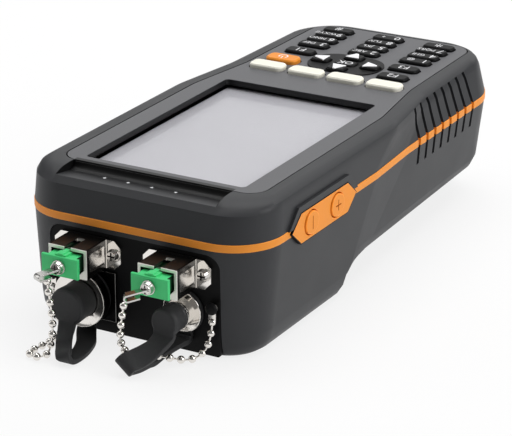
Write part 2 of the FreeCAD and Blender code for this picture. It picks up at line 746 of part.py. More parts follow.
def make_chain_tag(x, reach):
    """Folded chain tag held on the plug's face by a washer-head screw."""
    face = plug_face()
    centre = Vector(x, face, adapter_z)
    eye = rod(2.2, 0.6, centre, Vector(0, -1, 0))
    screw = rod(1.8, 1.4, centre + Vector(0, -0.6, 0), Vector(0, -1, 0))
    along = Vector(*reach)
    length = along.Length
    strap = block(-1.4, 1.4, -0.4, length, -0.25, 0.25)
    fold = block(-1.4, 1.4, length * 0.35, length, -2.05, -1.55)
    pivot = Vector(-1.4, length - 0.25, -0.9)
    bend = rod(1.15, 2.8, pivot, Vector(1, 0, 0)).cut(rod(0.65, 2.8, pivot, Vector(1, 0, 0)))
    bend = bend.common(block(-2.0, 2.0, pivot.y, length + 2.0, -3.0, 1.0))
    tag = fused([strap, fold, bend])
    ahead = along.normalize()
    normal = Vector(0, 0, 1) - ahead * ahead.z
    side = ahead.cross(normal.normalize())
    turn = FreeCAD.Rotation(side, ahead, normal, "XYZ")
    tag.Placement = FreeCAD.Placement(centre - Vector(0, 2.1, 0), turn)
    return fused([eye, screw, tag])


def turned(profile, x, z):
    """Solid of revolution about the port axis at x, z. profile holds radius and place along Y."""
    points = [Vector(x + radius, y, z) for radius, y in profile]
    face = Part.Face(Part.makePolygon(points + points[:1]))
    return face.revolve(Vector(x, 0, z), Vector(0, 1, 0), 360)


def make_pm_port():
    """Power-meter port: flat flange, neck, wide grip ring with a dished front and a barrel."""
    width, high, thick = pm_flange
    flange_y = plate_front - thick
    flange = block(pm_x - width / 2, pm_x + width / 2, flange_y, plate_front, pm_z - high / 2,
                   pm_z + high / 2)
    bore = ferrule_radius
    tip = pm_cap_face + cap_end + 0.8
    profile = [(bore, port_back), (pm_barrel_radius, port_back), (pm_barrel_radius, flange_y),
               (pm_neck_radius, flange_y), (pm_neck_radius, pm_ring_back),
               (pm_ring_radius - 0.2, pm_ring_back), (pm_ring_radius, pm_ring_back - 0.2),
               (pm_ring_radius, pm_ring_front + 0.2), (pm_ring_radius - 0.2, pm_ring_front),
               (dish_radius, pm_ring_front + dish_depth), (pm_barrel_radius, pm_ring_front + dish_depth),
               (pm_barrel_radius, tip), (bore, tip)]
    return fused([flange, turned(profile, pm_x, pm_z)])


def make_vfl_port():
    """Visible-light port: stem through the plate, polished dished rim, neck and slim barrel."""
    bore = ferrule_radius
    tip = vfl_cap_face + cap_end + 0.8
    profile = [(bore, port_back), (vfl_stem_radius, port_back), (vfl_stem_radius, vfl_rim_back),
               (vfl_rim_radius - 0.2, vfl_rim_back), (vfl_rim_radius, vfl_rim_back - 0.2),
               (vfl_rim_radius, vfl_rim_front + 0.2), (vfl_rim_radius - 0.2, vfl_rim_front),
               (vfl_neck_radius, vfl_rim_front + dish_depth / 2), (vfl_neck_radius, vfl_neck_end),
               (vfl_barrel_radius, vfl_neck_end), (vfl_barrel_radius, tip), (bore, tip)]
    return turned(profile, vfl_x, vfl_z)


def make_cap(x, z, face, back, outer, barrel):
    """Closed rubber cap over a barrel, slightly narrower at its mouth."""
    inner = barrel + cap_fit
    profile = [(0.0, face), (outer, face), (outer, face + 1.0), (outer - cap_taper, back), (inner, back),
               (inner, face + cap_end), (0.0, face + cap_end)]
    return turned(profile, x, z)


def ribbon(route):
    """Flat rubber strap lofted through square cuts across a route of points with width directions."""
    wires = []
    for i, (point, across) in enumerate(route):
        before = route[max(i - 1, 0)][0]
        after = route[min(i + 1, len(route) - 1)][0]
        ahead = (after - before).normalize()
        side = (across - ahead * across.dot(ahead)).normalize() * (strap_width / 2)
        up = side.cross(ahead).normalize() * (strap_thickness / 2)
        corners = [point + side + up, point - side + up, point - side - up, point + side - up]
        wires.append(Part.makePolygon(corners + corners[:1]))
    return Part.makeLoft(wires, True, True)


def make_strap(x, z, face, head, neck, ring_y, route):
    """Strap with a round head on the cap's face, folded on the table, its ring round the port's neck."""
    points = [Vector(x + sway, face - forward, height) for forward, sway, height in route]
    band = ribbon([(point, Vector(1, 0, 0)) for point in points])
    rear = face - seat_gap
    front = rear - strap_thickness
    disc = turned([(0.0, rear), (head, rear), (head, front + 0.8), (head - 0.3, front + 0.2),
                   (head - 0.9, front), (0.0, front)], x, z)
    base = Vector(x, ring_y - strap_ring / 2, z)
    ring = rod(neck + strap_ring_wide, strap_ring, base, Vector(0, 1, 0))
    half = strap_width / 2
    tongue = block(x - half, x + half, base.y, base.y + strap_ring, points[-1].z - 1.0, z)
    bore = rod(neck + seat_gap, strap_width, base - Vector(0, strap_width / 2, 0), Vector(0, 1, 0))
    return fused([disc, band, ring, tongue]).cut(bore)


def make_anchor(side):
    """Chain anchor: small post on the plate with a metal tag hanging from it."""
    x = side * anchor_x
    post = rod(1.1, 2.6, Vector(x, plate_front - 2.6, anchor_z), Vector(0, 1, 0))
    eye = rod(1.7, 0.5, Vector(x, plate_front - 2.0, anchor_z), Vector(0, 1, 0))
    tag = block(x - 1.2, x + 1.2, plate_front - 2.0, plate_front - 1.5, anchor_z - 4.0, anchor_z)
    return fused([post, eye, tag])


def make_chain(name, route):
    """Bead chain as a round tube: straight runs joined by tangent arcs."""
    points = [Vector(x, plate_front - forward, z) for x, forward, z in route]
    edges = []
    start = points[0]
    for before, corner, after in zip(points, points[1:], points[2:]):
        back = before - corner
        ahead = after - corner
        half = (math.pi - back.getAngle(ahead)) / 2
        cut = 0.45 * min(back.Length, ahead.Length)
        radius = cut / math.tan(half)
        back.normalize()
        ahead.normalize()
        middle = corner + (back + ahead).normalize() * (radius / math.cos(half) - radius)
        edges.append(Part.LineSegment(start, corner + back * cut).toShape())
        start = corner + ahead * cut
        edges.append(Part.Arc(corner + back * cut, middle, start).toShape())
        print("%s radius %.1f" % (name, radius))
    edges.append(Part.LineSegment(start, points[-1]).toShape())
    path = Part.Wire(edges)
    section = Part.Wire([Part.Circle(points[0], points[1] - points[0], chain_diameter / 2).toShape()])
    tube = path.makePipeShell([section], True, False)
    ideal = math.pi * chain_diameter ** 2 / 4 * path.Length
    print("%s length %.1f, volume ratio %.3f" % (name, path.Length, tube.Volume / ideal))
    return tube


def make_optical_block():
    """Measuring block behind the square adapters."""
    back = plate_front + adapter_tail
    half = 0.65 * head_half
    return block(-half, half, back, back + optical_length, adapter_z - optical_drop, bay_top)


def make_battery_pack():
    """Battery pack standing on its cover."""
    return block(-battery_half, battery_half, battery_front, battery_rear, cover_thickness, battery_top)


def make_battery_cover():
    """Flat cover, flush with the underside of the hump."""
    middle = (battery_front + battery_rear) / 2
    grow = 2 * (bay_room - cover_gap)
    wire = rounded_rectangle(0, middle, 2 * battery_half + grow, battery_rear - battery_front + grow, 0.6, 0)
    return prism(wire, cover_thickness)


def build():
    """Every node by name."""
    keys = key_table()
    slots = grip_slots()
    lens_top = face_z - panel_thickness
    pm_cap_back = pm_ring_front + dish_depth - running_gap
    parts = {
        "lower_shell": make_lower_shell(slots),
        "upper_shell": make_upper_shell(slots),
        "seam_band": make_seam_band(slots),
        "face_panel": make_face_panel(keys.values()),
        "display_lens": make_plate(window_width + 2 * lens_margin, window_length + 2 * lens_margin,
                                   lens_thickness, lens_top),
        "display_module": make_plate(window_width + 2 * display_margin, window_length + 2 * display_margin,
                                     display_thickness, lens_top - lens_thickness),
        "main_board": make_main_board(),
        "key_domes": make_key_domes(keys.values()),
        "nav_bezel": make_nav_bezel(keys),
        "led_lenses": make_led_lenses(),
        "connector_plate": make_connector_plate(),
        "adapter_sleeves": make_sleeves(),
        "adapter_screws": make_adapter_screws(),
        "pm_port": make_pm_port(),
        "vfl_port": make_vfl_port(),
        "pm_cap": make_cap(pm_x, pm_z, pm_cap_face, pm_cap_back, pm_cap_radius, pm_barrel_radius),
        "vfl_cap": make_cap(vfl_x, vfl_z, vfl_cap_face, vfl_neck_end - running_gap, vfl_cap_radius,
                            vfl_barrel_radius),
        "pm_strap": make_strap(pm_x, pm_z, pm_cap_face, pm_cap_radius, pm_neck_radius, pm_strap_ring,
                               pm_route),
        "vfl_strap": make_strap(vfl_x, vfl_z, vfl_cap_face, vfl_cap_radius, vfl_stem_radius, vfl_strap_ring,
                                vfl_route),
        "chain_tag_left": make_chain_tag(-adapter_x, tag_left),
        "chain_tag_right": make_chain_tag(adapter_x, tag_right),
        "chain_anchors": Part.makeCompound([make_anchor(-1), make_anchor(1)]),
        "sc_chain_left": make_chain("left chain", left_route),
        "sc_chain_right": make_chain("right chain", right_route),
        "optical_block": make_optical_block(),
        "battery_pack": make_battery_pack(),
        "battery_cover": make_battery_cover(),
        "case_screws": make_case_screws(),
    }
    for side, x in (("left", -adapter_x), ("right", adapter_x)):
        parts["sc_adapter_" + side] = make_adapter(x)
        parts["sc_plug_" + side] = make_plug(x)
    for sign, y in zip(("minus", "plus"), side_key_places()):
        parts["side_key_" + sign] = make_side_key(y)
    for name, (x, y, size, radius) in keys.items():
        parts[name] = make_key(x, y, size, radius)
    return parts


for name, shape in build().items():
    shape.exportStep("parts/" + name + ".step")
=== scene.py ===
# %% [markdown]
# # Dressing a handheld fibre tester
#
# The solids of the tester come packed as a frame that stays where it is. The cells below give each
# visible piece its finish and its fine shape, and say why each one is made in the way it is. All
# places are in metres, in the frame of the solids: the connectors look along -Y and the display up.
# Three short helpers come first, for what every later step does with objects and meshes.

# %% Load the frame
import json
import math

import bmesh
import bpy
from mathutils import Matrix, Vector

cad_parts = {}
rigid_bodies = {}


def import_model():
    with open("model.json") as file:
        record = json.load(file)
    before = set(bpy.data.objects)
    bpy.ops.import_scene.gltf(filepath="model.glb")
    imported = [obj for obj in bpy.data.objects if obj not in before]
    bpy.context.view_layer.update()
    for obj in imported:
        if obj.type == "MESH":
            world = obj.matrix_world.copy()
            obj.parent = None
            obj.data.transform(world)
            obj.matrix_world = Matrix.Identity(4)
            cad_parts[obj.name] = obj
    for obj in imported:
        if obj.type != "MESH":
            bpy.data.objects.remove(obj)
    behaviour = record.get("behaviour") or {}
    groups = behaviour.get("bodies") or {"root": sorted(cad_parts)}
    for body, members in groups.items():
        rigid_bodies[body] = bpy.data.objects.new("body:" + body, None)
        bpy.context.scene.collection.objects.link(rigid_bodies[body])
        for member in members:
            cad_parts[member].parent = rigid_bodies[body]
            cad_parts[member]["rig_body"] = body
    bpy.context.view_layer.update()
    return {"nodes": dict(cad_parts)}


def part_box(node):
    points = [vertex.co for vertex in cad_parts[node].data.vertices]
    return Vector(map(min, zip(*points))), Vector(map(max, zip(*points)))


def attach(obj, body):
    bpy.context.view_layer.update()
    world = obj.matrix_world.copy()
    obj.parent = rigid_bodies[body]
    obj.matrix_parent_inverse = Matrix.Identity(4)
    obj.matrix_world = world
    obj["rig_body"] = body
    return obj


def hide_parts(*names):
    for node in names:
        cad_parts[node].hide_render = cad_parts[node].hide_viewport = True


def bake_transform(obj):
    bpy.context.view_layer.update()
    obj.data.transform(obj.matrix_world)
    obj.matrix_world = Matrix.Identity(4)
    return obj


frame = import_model()
mm = 0.001


def new_object(name, data):
    """Object of the scene from its data."""
    made = bpy.data.objects.new(name, data)
    bpy.context.scene.collection.objects.link(made)
    return made


def as_mesh(work, name):
    """Mesh from a bmesh, which is freed."""
    mesh = bpy.data.meshes.new(name)
    work.to_mesh(mesh)
    work.free()
    return mesh


def baked(holder):
    """Mesh of an object as its modifiers leave it. The object itself goes."""
    mesh = bpy.data.meshes.new_from_object(holder.evaluated_get(bpy.context.evaluated_depsgraph_get()))
    bpy.data.objects.remove(holder)
    return mesh


# %% [markdown]
# ## Node trees as sums
#
# Finishes and repeated pieces are node trees. Clicking them together by hand can't be read in a
# script, so one small class wraps an output socket: plain arithmetic on it adds Math nodes, and one
# method adds every other kind of node.

# %% Wire class
class Wire:
    """An output of a node tree. Arithmetic adds Math nodes, and node() adds any other node."""

    def __init__(self, tree, socket=None):
        self.tree = tree
        self.socket = socket

    def feed(self, socket, value):
        """Links a wire to a socket, or sets the socket's own value."""
        if isinstance(value, Wire):
            self.tree.links.new(value.socket, socket)
        else:
            socket.default_value = value

    def node(self, kind, settings=None, inputs=None, output=0):
        """Adds a node, its settings first and its sockets next, and gives one of its outputs."""
        made = self.tree.nodes.new(kind)
        for name, value in (settings or {}).items():
            setattr(made, name, value)
        for name, value in (inputs or {}).items():
            self.feed(made.inputs[name], value)
        return Wire(self.tree, made.outputs[output]) if made.outputs else made

    def also(self, output):
        """Another output of the node that this wire leaves."""
        return Wire(self.tree, self.socket.node.outputs[output])

    def maths(self, operation, *values):
        """Math node of this operation on wires and numbers."""
        return self.node("ShaderNodeMath", {"operation": operation}, dict(enumerate(values)))

    def mixed(self, share, first, second):
        """Colour between first and second."""
        return self.node("ShaderNodeMix", {"data_type": "RGBA"}, {0: share, 6: first, 7: second}, output=2)

    def __add__(self, other):
        return self.maths("ADD", self, other)

    def __sub__(self, other):
        return self.maths("SUBTRACT", self, other)

    def __rsub__(self, other):
        return self.maths("SUBTRACT", other, self)

    def __mul__(self, other):
        return self.maths("MULTIPLY", self, other)

    def __gt__(self, other):
        return self.maths("GREATER_THAN", self, other)

    def __lt__(self, other):
        return self.maths("LESS_THAN", self, other)

    __radd__ = __add__
    __rmul__ = __mul__


# %% [markdown]
# ## Camera
#
# The photograph is taken from the connector end with a long lens, a little to the right and above.
# The camera is given by the point it aims at, its two angles and its distance, so that it can be
# read as a viewpoint and not as a matrix.

# %% Camera
view_azimuth = math.radians(29.33)
view_elevation = math.radians(21.41)
aim = Vector((26.35, -61.94, 35.22)) * mm
eye_distance = 745.6 * mm
toward_eye = Vector((math.sin(view_azimuth) * math.cos(view_elevation),
                     -math.cos(view_azimuth) * math.cos(view_elevation),
                     math.sin(view_elevation)))
lens = bpy.data.cameras.new("photo_camera")
lens.sensor_width = 36.0
lens.lens = 177.2
lens.clip_start = 0.01
camera = new_object("photo_camera", lens)
camera.location = aim + toward_eye * eye_distance
camera.rotation_euler = toward_eye.to_track_quat("Z", "Y").to_euler()
bpy.context.scene.camera = camera
print("camera at", [round(c, 3) for c in camera.location])

# %% [markdown]
# ## Studio
#
# Product shots of dark handhelds use large soft lights, so that the edges show as long pale lines.
# The floor is white and still takes the shadow: for rays that are seen directly or in a reflection,
# part of it glows, and the rest is plain white paint.

# %% Floor, lights and world
def blank_tree(owner):
    """Wire to build on in the emptied node tree of a material or world."""
    owner.use_nodes = True
    owner.node_tree.nodes.clear()
    return Wire(owner.node_tree)


def add_floor(size, glow):
    """Round white floor that stays white in view, keeps part of the shadow and is clear from below."""
    below_part = 0.03 * mm
    work = bmesh.new()
    bmesh.ops.create_circle(work, cap_ends=True, segments=96, radius=size)
    bmesh.ops.translate(work, verts=work.verts, vec=(0, 0, -below_part))
    floor = new_object("studio_floor", as_mesh(work, "studio_floor"))
    paint = bpy.data.materials.new("studio_white")
    start = blank_tree(paint)
    ray = start.node("ShaderNodeLightPath", output="Is Camera Ray")
    seen = start.maths("MINIMUM", ray + ray.also("Is Glossy Ray") + ray.also("Is Transmission Ray"), 1.0)
    white = start.node("ShaderNodeBsdfDiffuse", inputs={"Color": (0.9, 0.9, 0.9, 1)})
    light = start.node("ShaderNodeEmission", inputs={"Color": (1, 1, 1, 1), "Strength": 1.0})
    mixed = start.node("ShaderNodeMixShader", inputs={0: seen * glow, 1: white, 2: light})
    under = start.node("ShaderNodeNewGeometry", output="Backfacing")
    clear = start.node("ShaderNodeBsdfTransparent")
    whole = start.node("ShaderNodeMixShader", inputs={0: under, 1: mixed, 2: clear})
    start.node("ShaderNodeOutputMaterial", inputs={"Surface": whole})
    floor.data.materials.append(paint)


def add_softbox(name, place, target, size, brightness):
    """Area light at place facing target, given by its brightness per area."""
    lamp = bpy.data.lights.new(name, "AREA")
    lamp.shape = "RECTANGLE"
    lamp.size, lamp.size_y = size
    lamp.energy = brightness * math.pi * size[0] * size[1]
    box = new_object(name, lamp)
    box.location = place
    box.rotation_euler = (Vector(place) - Vector(target)).to_track_quat("Z", "Y").to_euler()


def set_world(level):
    """Even pale surroundings, white where they are seen directly."""
    world = bpy.data.worlds.new("studio_air")
    start = blank_tree(world)
    ray = start.node("ShaderNodeLightPath", output="Is Camera Ray")
    seen = start.maths("MINIMUM", ray + ray.also("Is Transmission Ray"), 1.0)
    strength = level + seen * (1 - level)
    air = start.node("ShaderNodeBackground", inputs={"Color": (1, 1, 1, 1), "Strength": strength})
    start.node("ShaderNodeOutputWorld", inputs={"Surface": air})
    bpy.context.scene.world = world


middle = Vector((0, 0, 20)) * mm
add_floor(size=3.0, glow=0.8)
add_softbox("overhead_softbox", (-0.1, 0.35, 1.1), middle, (1.3, 1.0), 2.75)
add_softbox("left_softbox", (-1.0, -0.3, 0.5), middle, (0.5, 0.8), 1.4)
add_softbox("right_softbox", (1.2, 0.15, 0.65), middle, (0.9, 0.8), 4.1)
add_softbox("rear_softbox", (-0.5, 1.5, 0.6), middle, (1.6, 0.8), 0.9)
set_world(0.2)
bpy.context.scene.view_settings.view_transform = "Standard"
print("lights:", len(bpy.data.lights))

# %% [markdown]
# ## Finishes
#
# Moulded plastic is never one colour: the tool leaves a fine grain, the melt drifts a little, and
# hands polish the edges first, which are also lightened as a painted highlight. One function makes
# every moulded plastic and rubber from these three parts, with the grain in millimetres, and can add
# patches of painted shade. Bright and dark metals have functions of their own, because their look lies
# in how the polish varies and in the bare edges.

# %% Moulded and metal finishes
edge_polish, edge_highlight = 0.12, 0.18
bare_metal = (0.75, 0.73, 0.7, 1)
face_height = 48.0
scoop_left, scoop_right = -29.0, 26.0


def new_finish(name):
    """New material, and a wire of its places to build on."""
    material = bpy.data.materials.new(name)
    material.use_nodes = True
    return material, Wire(material.node_tree).node("ShaderNodeTexCoord", output="Object")


def finished(material, place, inputs):
    """The material, with these inputs of its shader set to plain values or linked to wires."""
    shader = material.node_tree.nodes["Principled BSDF"]
    for name, value in inputs.items():
        place.feed(shader.inputs[name], value)
    return material


def noise(place, size, detail=2.0):
    """Noise from 0 to 1 with blobs of about this size in metres."""
    return place.node("ShaderNodeTexNoise", inputs={"Vector": place, "Scale": 1 / size, "Detail": detail})


def marked(place, mark):
    """1 on marked faces: rounded edges, for wear and a painted highlight, and the inner faces of screw slots,
    for a painted shadow.
    """
    return place.node("ShaderNodeAttribute", {"attribute_name": mark}, output="Fac")


def bumped(height, strength, depth):
    """Bumps of a depth in millimetres where a wire is high."""
    return height.node("ShaderNodeBump", inputs={"Strength": strength, "Distance": depth * mm,
                                                 "Height": height})


def scaled(colour, shade):
    """A colour made lighter or darker by a wire."""
    return shade.node("ShaderNodeVectorMath", {"operation": "SCALE"}, {0: colour, "Scale": shade})


def between(value, low, high):
    """1 where the value lies between two limits."""
    return (value > low) * (value < high)


def spread(place):
    """The place's X, Y and Z in millimetres."""
    split = place.node("ShaderNodeSeparateXYZ", inputs={"Vector": place}, output="X")
    return [split.also(axis) * 1000.0 for axis in "XYZ"]


def moulded(name, colour, roughness, grain=0.4, depth=0.012, drift=0.1, coat=0.0, gloss=0.5, patch=None):
    """Plastic or rubber: drifting colour, tool grain of a size and depth in millimetres, polished edges with
    a painted highlight.

    The patch is a function of X, Y and Z in millimetres that gives a shade for places of their own."""
    material, place = new_finish(name)
    slow = noise(place, 14 * mm, 3.0) - 0.5
    fine = noise(place, grain * mm)
    edge = marked(place, "edge_wear_and_highlight")
    # Rounded edges are lightened here as a painted highlight.
    shade = 1 + slow * drift + (fine - 0.5) * drift + edge * edge_highlight
    if patch:
        shade = shade * patch(*spread(place))
    return finished(material, place, {
        "Base Color": scaled(colour, shade), "Roughness": roughness + slow * 0.12 - edge * edge_polish,
        "Normal": bumped(fine, 0.6, depth),
        "Coat Weight": coat, "Coat Roughness": 0.12, "Specular IOR Level": gloss})


def plated(name, colour, roughness, streak=(1, 1, 1)):
    """Metal whose polish drifts, with fine rub marks drawn out along the axes where streak is small, and a
    painted shadow on marked slot faces.
    """
    material, place = new_finish(name)
    slow = noise(place, 5 * mm, 3.0) - 0.5
    drawn = place.node("ShaderNodeMapping", inputs={"Vector": place, "Scale": streak})
    rubs = noise(drawn, 0.25 * mm, 3.0)
    # Marked faces inside screw slots are darkened here as a painted shadow.
    shade = (1 + slow * 0.1) * (1 - marked(place, "slot_shadow") * 0.95)
    return finished(material, place, {
        "Base Color": scaled(colour, shade), "Metallic": 1.0,
        "Roughness": roughness + slow * 0.08 + (rubs - 0.5) * 0.08, "Normal": bumped(rubs, 0.15, 0.0015)})


def anodised(name, colour, roughness, bare):
    """Dark metal with a share of bare bright metal along its cut edges."""
    material, place = new_finish(name)
    edge = marked(place, "edge_wear_and_highlight")
    rubs = noise(place, 0.3 * mm, 3.0) - 0.5
    dark = scaled(colour, 1 + rubs * 0.3)
    return finished(material, place, {"Base Color": place.mixed(edge * bare, dark, bare_metal),
                                      "Metallic": 1.0, "Roughness": roughness + rubs * 0.1 - edge * 0.18})


def ramp(value, low, high):
    """0 below low, 1 above high and even between them."""
    return value.maths("MINIMUM", value.maths("MAXIMUM", (value - low) * (1 / (high - low)), 0.0), 1.0)


def scoop_painted_shade(x, y, z):
    """Painted shade in the back of the scoop and at its ends, thinning out towards its front edge."""
    thin = ramp(y, -83.5, -76.5)
    ends = (x < scoop_left + 0.2) + (x > scoop_right - 0.2)
    across = between(x, scoop_left - 0.2, scoop_right + 0.2)
    inside = across * between(y, -84.5, -74.0) * between(z, face_height - 4.0, face_height - 0.2)
    return 1 - inside * x.maths("MAXIMUM", thin, ends) * 0.94


def overlay_painted_shade(x, y, z):
    """Painted shade on the walls below the overlay's face, in the window and all round, and a painted shadow
    on the lip over the scoop.
    """
    walls = z < face_height - 0.2
    lip = between(x, scoop_left, scoop_right) * (y < -73.1)
    return 1 - x.maths("MAXIMUM", walls, lip) * 0.9


def plug_painted_shade(x, y, z):
    """Painted shade on a plug's neck behind its plate and on its key inside the slot of its adapter."""
    neck = (y > -102.9) * between(z, 22.0, 29.3)
    key = (y > -99.6) * (z > 29.2)
    return 1 - x.maths("MAXIMUM", neck, key) * 0.94


shell_plastic = moulded("charcoal_soft_touch", (0.03, 0.031, 0.034), 0.46, grain=0.35, depth=0.01, gloss=0.3,
                        patch=scoop_painted_shade)
panel_plastic = moulded("grey_face_overlay", (0.115, 0.116, 0.123), 0.5, grain=0.5, depth=0.03, drift=0.2,
                        gloss=0.35, patch=overlay_painted_shade)
orange_rubber = moulded("orange_band_rubber", (0.86, 0.29, 0.025), 0.5, grain=0.5, drift=0.08, gloss=0.35)
plate_plastic = moulded("black_plate_plastic", (0.004, 0.004, 0.0045), 0.5, grain=0.3, gloss=0.12)
cap_rubber = moulded("black_cap_rubber", (0.027, 0.0275, 0.029), 0.6, grain=0.7, depth=0.02, drift=0.25,
                     gloss=0.35)
key_rubber = moulded("black_key_rubber", (0.006, 0.006, 0.0065), 0.5, grain=0.3, gloss=0.15)
ivory_rubber = moulded("ivory_key_rubber", (0.9, 0.88, 0.77), 0.5, grain=0.4, drift=0.05)
white_rubber = moulded("white_key_rubber", (0.88, 0.88, 0.9), 0.5, grain=0.4, drift=0.05)
green_plastic = moulded("green_plug_plastic", (0.05, 0.64, 0.2), 0.5, grain=0.6, depth=0.01, coat=0.05,
                        patch=plug_painted_shade)
legend_ink = moulded("pale_legend_ink", (0.8, 0.8, 0.82), 0.5, grain=0.2, depth=0.004)
dark_orange = moulded("orange_mark_rubber", (0.36, 0.07, 0.004), 0.7, grain=0.3, gloss=0.05)
black_metal = anodised("black_anodised_metal", (0.012, 0.012, 0.013), 0.36, 0.25)
ring_metal = anodised("black_ring_metal", (0.014, 0.014, 0.015), 0.3, 0.9)
nickel = plated("bright_nickel", (0.8, 0.77, 0.73), 0.12)
steel = plated("screw_steel", (0.66, 0.64, 0.61), 0.2)
tag_metal = anodised("tag_metal", (0.58, 0.57, 0.55), 0.2, 1.0)
print("finishes:", len(bpy.data.materials))

# %% [markdown]
# ## Softened copies
#
# The solids have the right form, and knife edges that no moulding has. A copy of a solid with its
# edges rounded over catches the light as the real piece does, so most pieces are made that way. The
# faces that the rounding adds are marked, and the finishes polish them a little; moulded finishes also
# lighten them as a painted highlight, and dark metals show bare metal there.

# %% Softened copies of solids
merge_distance = 0.001 * mm
flat_angle = math.radians(0.6)
hard_angle = math.radians(32)
crease_angle = math.radians(50)


def rounded_off(work, name, width, segments=2):
    """Mesh of a closed bmesh with its hard edges rounded by width, in mm, and marked."""
    bmesh.ops.remove_doubles(work, verts=work.verts, dist=merge_distance)
    bmesh.ops.dissolve_limit(work, angle_limit=flat_angle, verts=work.verts, edges=work.edges)
    hard = [edge for edge in work.edges if len(edge.link_faces) == 2 and edge.calc_face_angle() > hard_angle]
    wear_and_highlight = work.faces.layers.float.new("edge_wear_and_highlight")
    made = bmesh.ops.bevel(work, geom=hard, offset=width * mm, segments=segments, profile=0.5,
                           affect="EDGES", clamp_overlap=True)
    for face in made["faces"]:
        face[wear_and_highlight] = 1.0
    return as_mesh(work, name)


def add_piece(name, mesh, finish):
    """Piece at the origin from a mesh in place, shaded smooth with flat faces kept flat."""
    mesh.materials.clear()
    mesh.materials.append(finish)
    mesh.shade_smooth()
    mesh.set_sharp_from_angle(angle=crease_angle)
    piece = new_object(name, mesh)
    even = piece.modifiers.new("flat faces", "WEIGHTED_NORMAL")
    even.keep_sharp = True
    return piece


def dress(name, mesh, finish, body, slot, *nodes):
    """Adds a piece, rides it on its body and lets it stand for solids. The slot is not used."""
    piece = add_piece(name, mesh, finish)
    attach(piece, body)
    if nodes:
        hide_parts(*nodes)


def skin(node, finish, slot, width, segments=2):
    """Softened copy that stands for one solid."""
    work = bmesh.new()
    work.from_mesh(frame["nodes"][node].data)
    mesh = rounded_off(work, node + "_skin", width, segments)
    dress(node + "_skin", mesh, finish, frame["nodes"][node]["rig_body"], slot, node)


# %% [markdown]
# ## Housing
#
# The housing is two moulded shells with a rubber band in the seam between them. The solids already
# have the waist and the grip slots, so copies with softened edges are enough. The band and the face
# overlay are made in the same way.

# %% Shells, band, overlay and plate
for node in ("upper_shell", "lower_shell"):
    skin(node, shell_plastic, "charcoal_plastic", 0.3)
skin("seam_band", orange_rubber, "orange_rubber", 0.25)
skin("face_panel", panel_plastic, "grey_panel", 0.25)
skin("connector_plate", plate_plastic, "black_plastic", 0.2)
skin("nav_bezel", key_rubber, "black_plastic", 0.12)
skin("battery_cover", shell_plastic, "charcoal_plastic", 0.25)
print("housing dressed")

# %% [markdown]
# ## Painted shadow round the side keys
#
# A thin black frame under the orange surround of the side keys is a painted shadow, seen as a dark
# line round it. It is a frame between two long hexagons, so one loop can make its outer, inner and end
# faces.

# %% Painted shadow frame round the side keys
surround_y, surround_z = -48.6, 35.4
shadow_frame_back, shadow_frame_front = 40.6, 42.42
shadow_frame_inner, shadow_frame_outer = -0.5, 0.28


def hexagon(margin):
    """Corners of the surround's outline, grown by a margin, as places along Y and Z in mm."""
    long_half, flat_half, high_half = 20.3 + margin * 1.2, 14.7 + margin * 0.6, 4.7 + margin
    corners = [(-long_half, 0), (-flat_half, high_half), (flat_half, high_half),
               (long_half, 0), (flat_half, -high_half), (-flat_half, -high_half)]
    return [(surround_y + y, surround_z + z) for y, z in corners]


# A black frame that stands for the shadow round the side keys: a painted shadow.
work = bmesh.new()
section = [(shadow_frame_back, shadow_frame_inner), (shadow_frame_back, shadow_frame_outer),
           (shadow_frame_front, shadow_frame_outer), (shadow_frame_front, shadow_frame_inner)]
loops = [[work.verts.new(Vector((x, y, z)) * mm) for y, z in hexagon(margin)] for x, margin in section]
for inner, outer in zip(loops, loops[1:] + loops[:1]):
    for i in range(6):
        work.faces.new((inner[i - 1], outer[i - 1], outer[i], inner[i]))
bmesh.ops.recalc_face_normals(work, faces=work.faces)
painted_shadow_frame = rounded_off(work, "side_key_painted_shadow", 0.1)
dress("side_key_painted_shadow", painted_shadow_frame, plate_plastic, "housing", "black_plastic")
print("gasket faces:", len(painted_shadow_frame.polygons))

# %% [markdown]
# ## Strip behind the status lights
#
# In front of the display the housing has a scoop. Its back wall is a strip that curves out onto
# the floor of the scoop, dark from the scoop's painted shade. A swept section gives the curve: the same
# outline at both ends, joined by flat faces.

# %% Strip in the scoop, dark with painted shade
def extruded(name, outline, place, low, high, width):
    """Closed outline of points, put in place by a function of both its numbers and a third one."""
    work = bmesh.new()
    ends = [[work.verts.new(place(u, v, t) * mm) for u, v in outline] for t in (low, high)]
    work.faces.new(ends[0])
    work.faces.new(ends[1][::-1])
    for i, corner in enumerate(ends[0]):
        work.faces.new((ends[0][i - 1], ends[1][i - 1], ends[1][i], corner))
    bmesh.ops.recalc_face_normals(work, faces=work.faces)
    return rounded_off(work, name, width)


strip_front = [(-75.12, 47.55), (-75.2, 46.9), (-75.4, 46.35), (-75.75, 45.95), (-76.3, 45.65),
               (-77.0, 45.52), (-77.7, 45.52)]
strip_outline = strip_front + [(-77.7, 45.4), (-76.0, 45.3), (-75.12, 45.2), (-74.8, 46.05), (-74.8, 47.55)]
strip = extruded("status_light_strip", strip_outline, lambda y, z, x: Vector((x, y, z)),
                 scoop_left + 0.2, scoop_right - 0.2, 0.06)
dress("status_light_strip", strip, shell_plastic, "housing", "charcoal_plastic")
print("strip points:", len(strip_outline))

# %% [markdown]
# ## Display
#
# The window is a clear plate with a black printed border. The plate's material is black with an alpha
# mask: the border is solid, and the clear part only keeps a trace of the black. The display below is
# unlit and lavender grey, with a faint grid of cells and a slow change of tone.

# %% Window and display
lit_half, lit_front, lit_rear = 27.3, -71.0, 15.6
cell_pitch, cell_gap = 0.36, 0.1


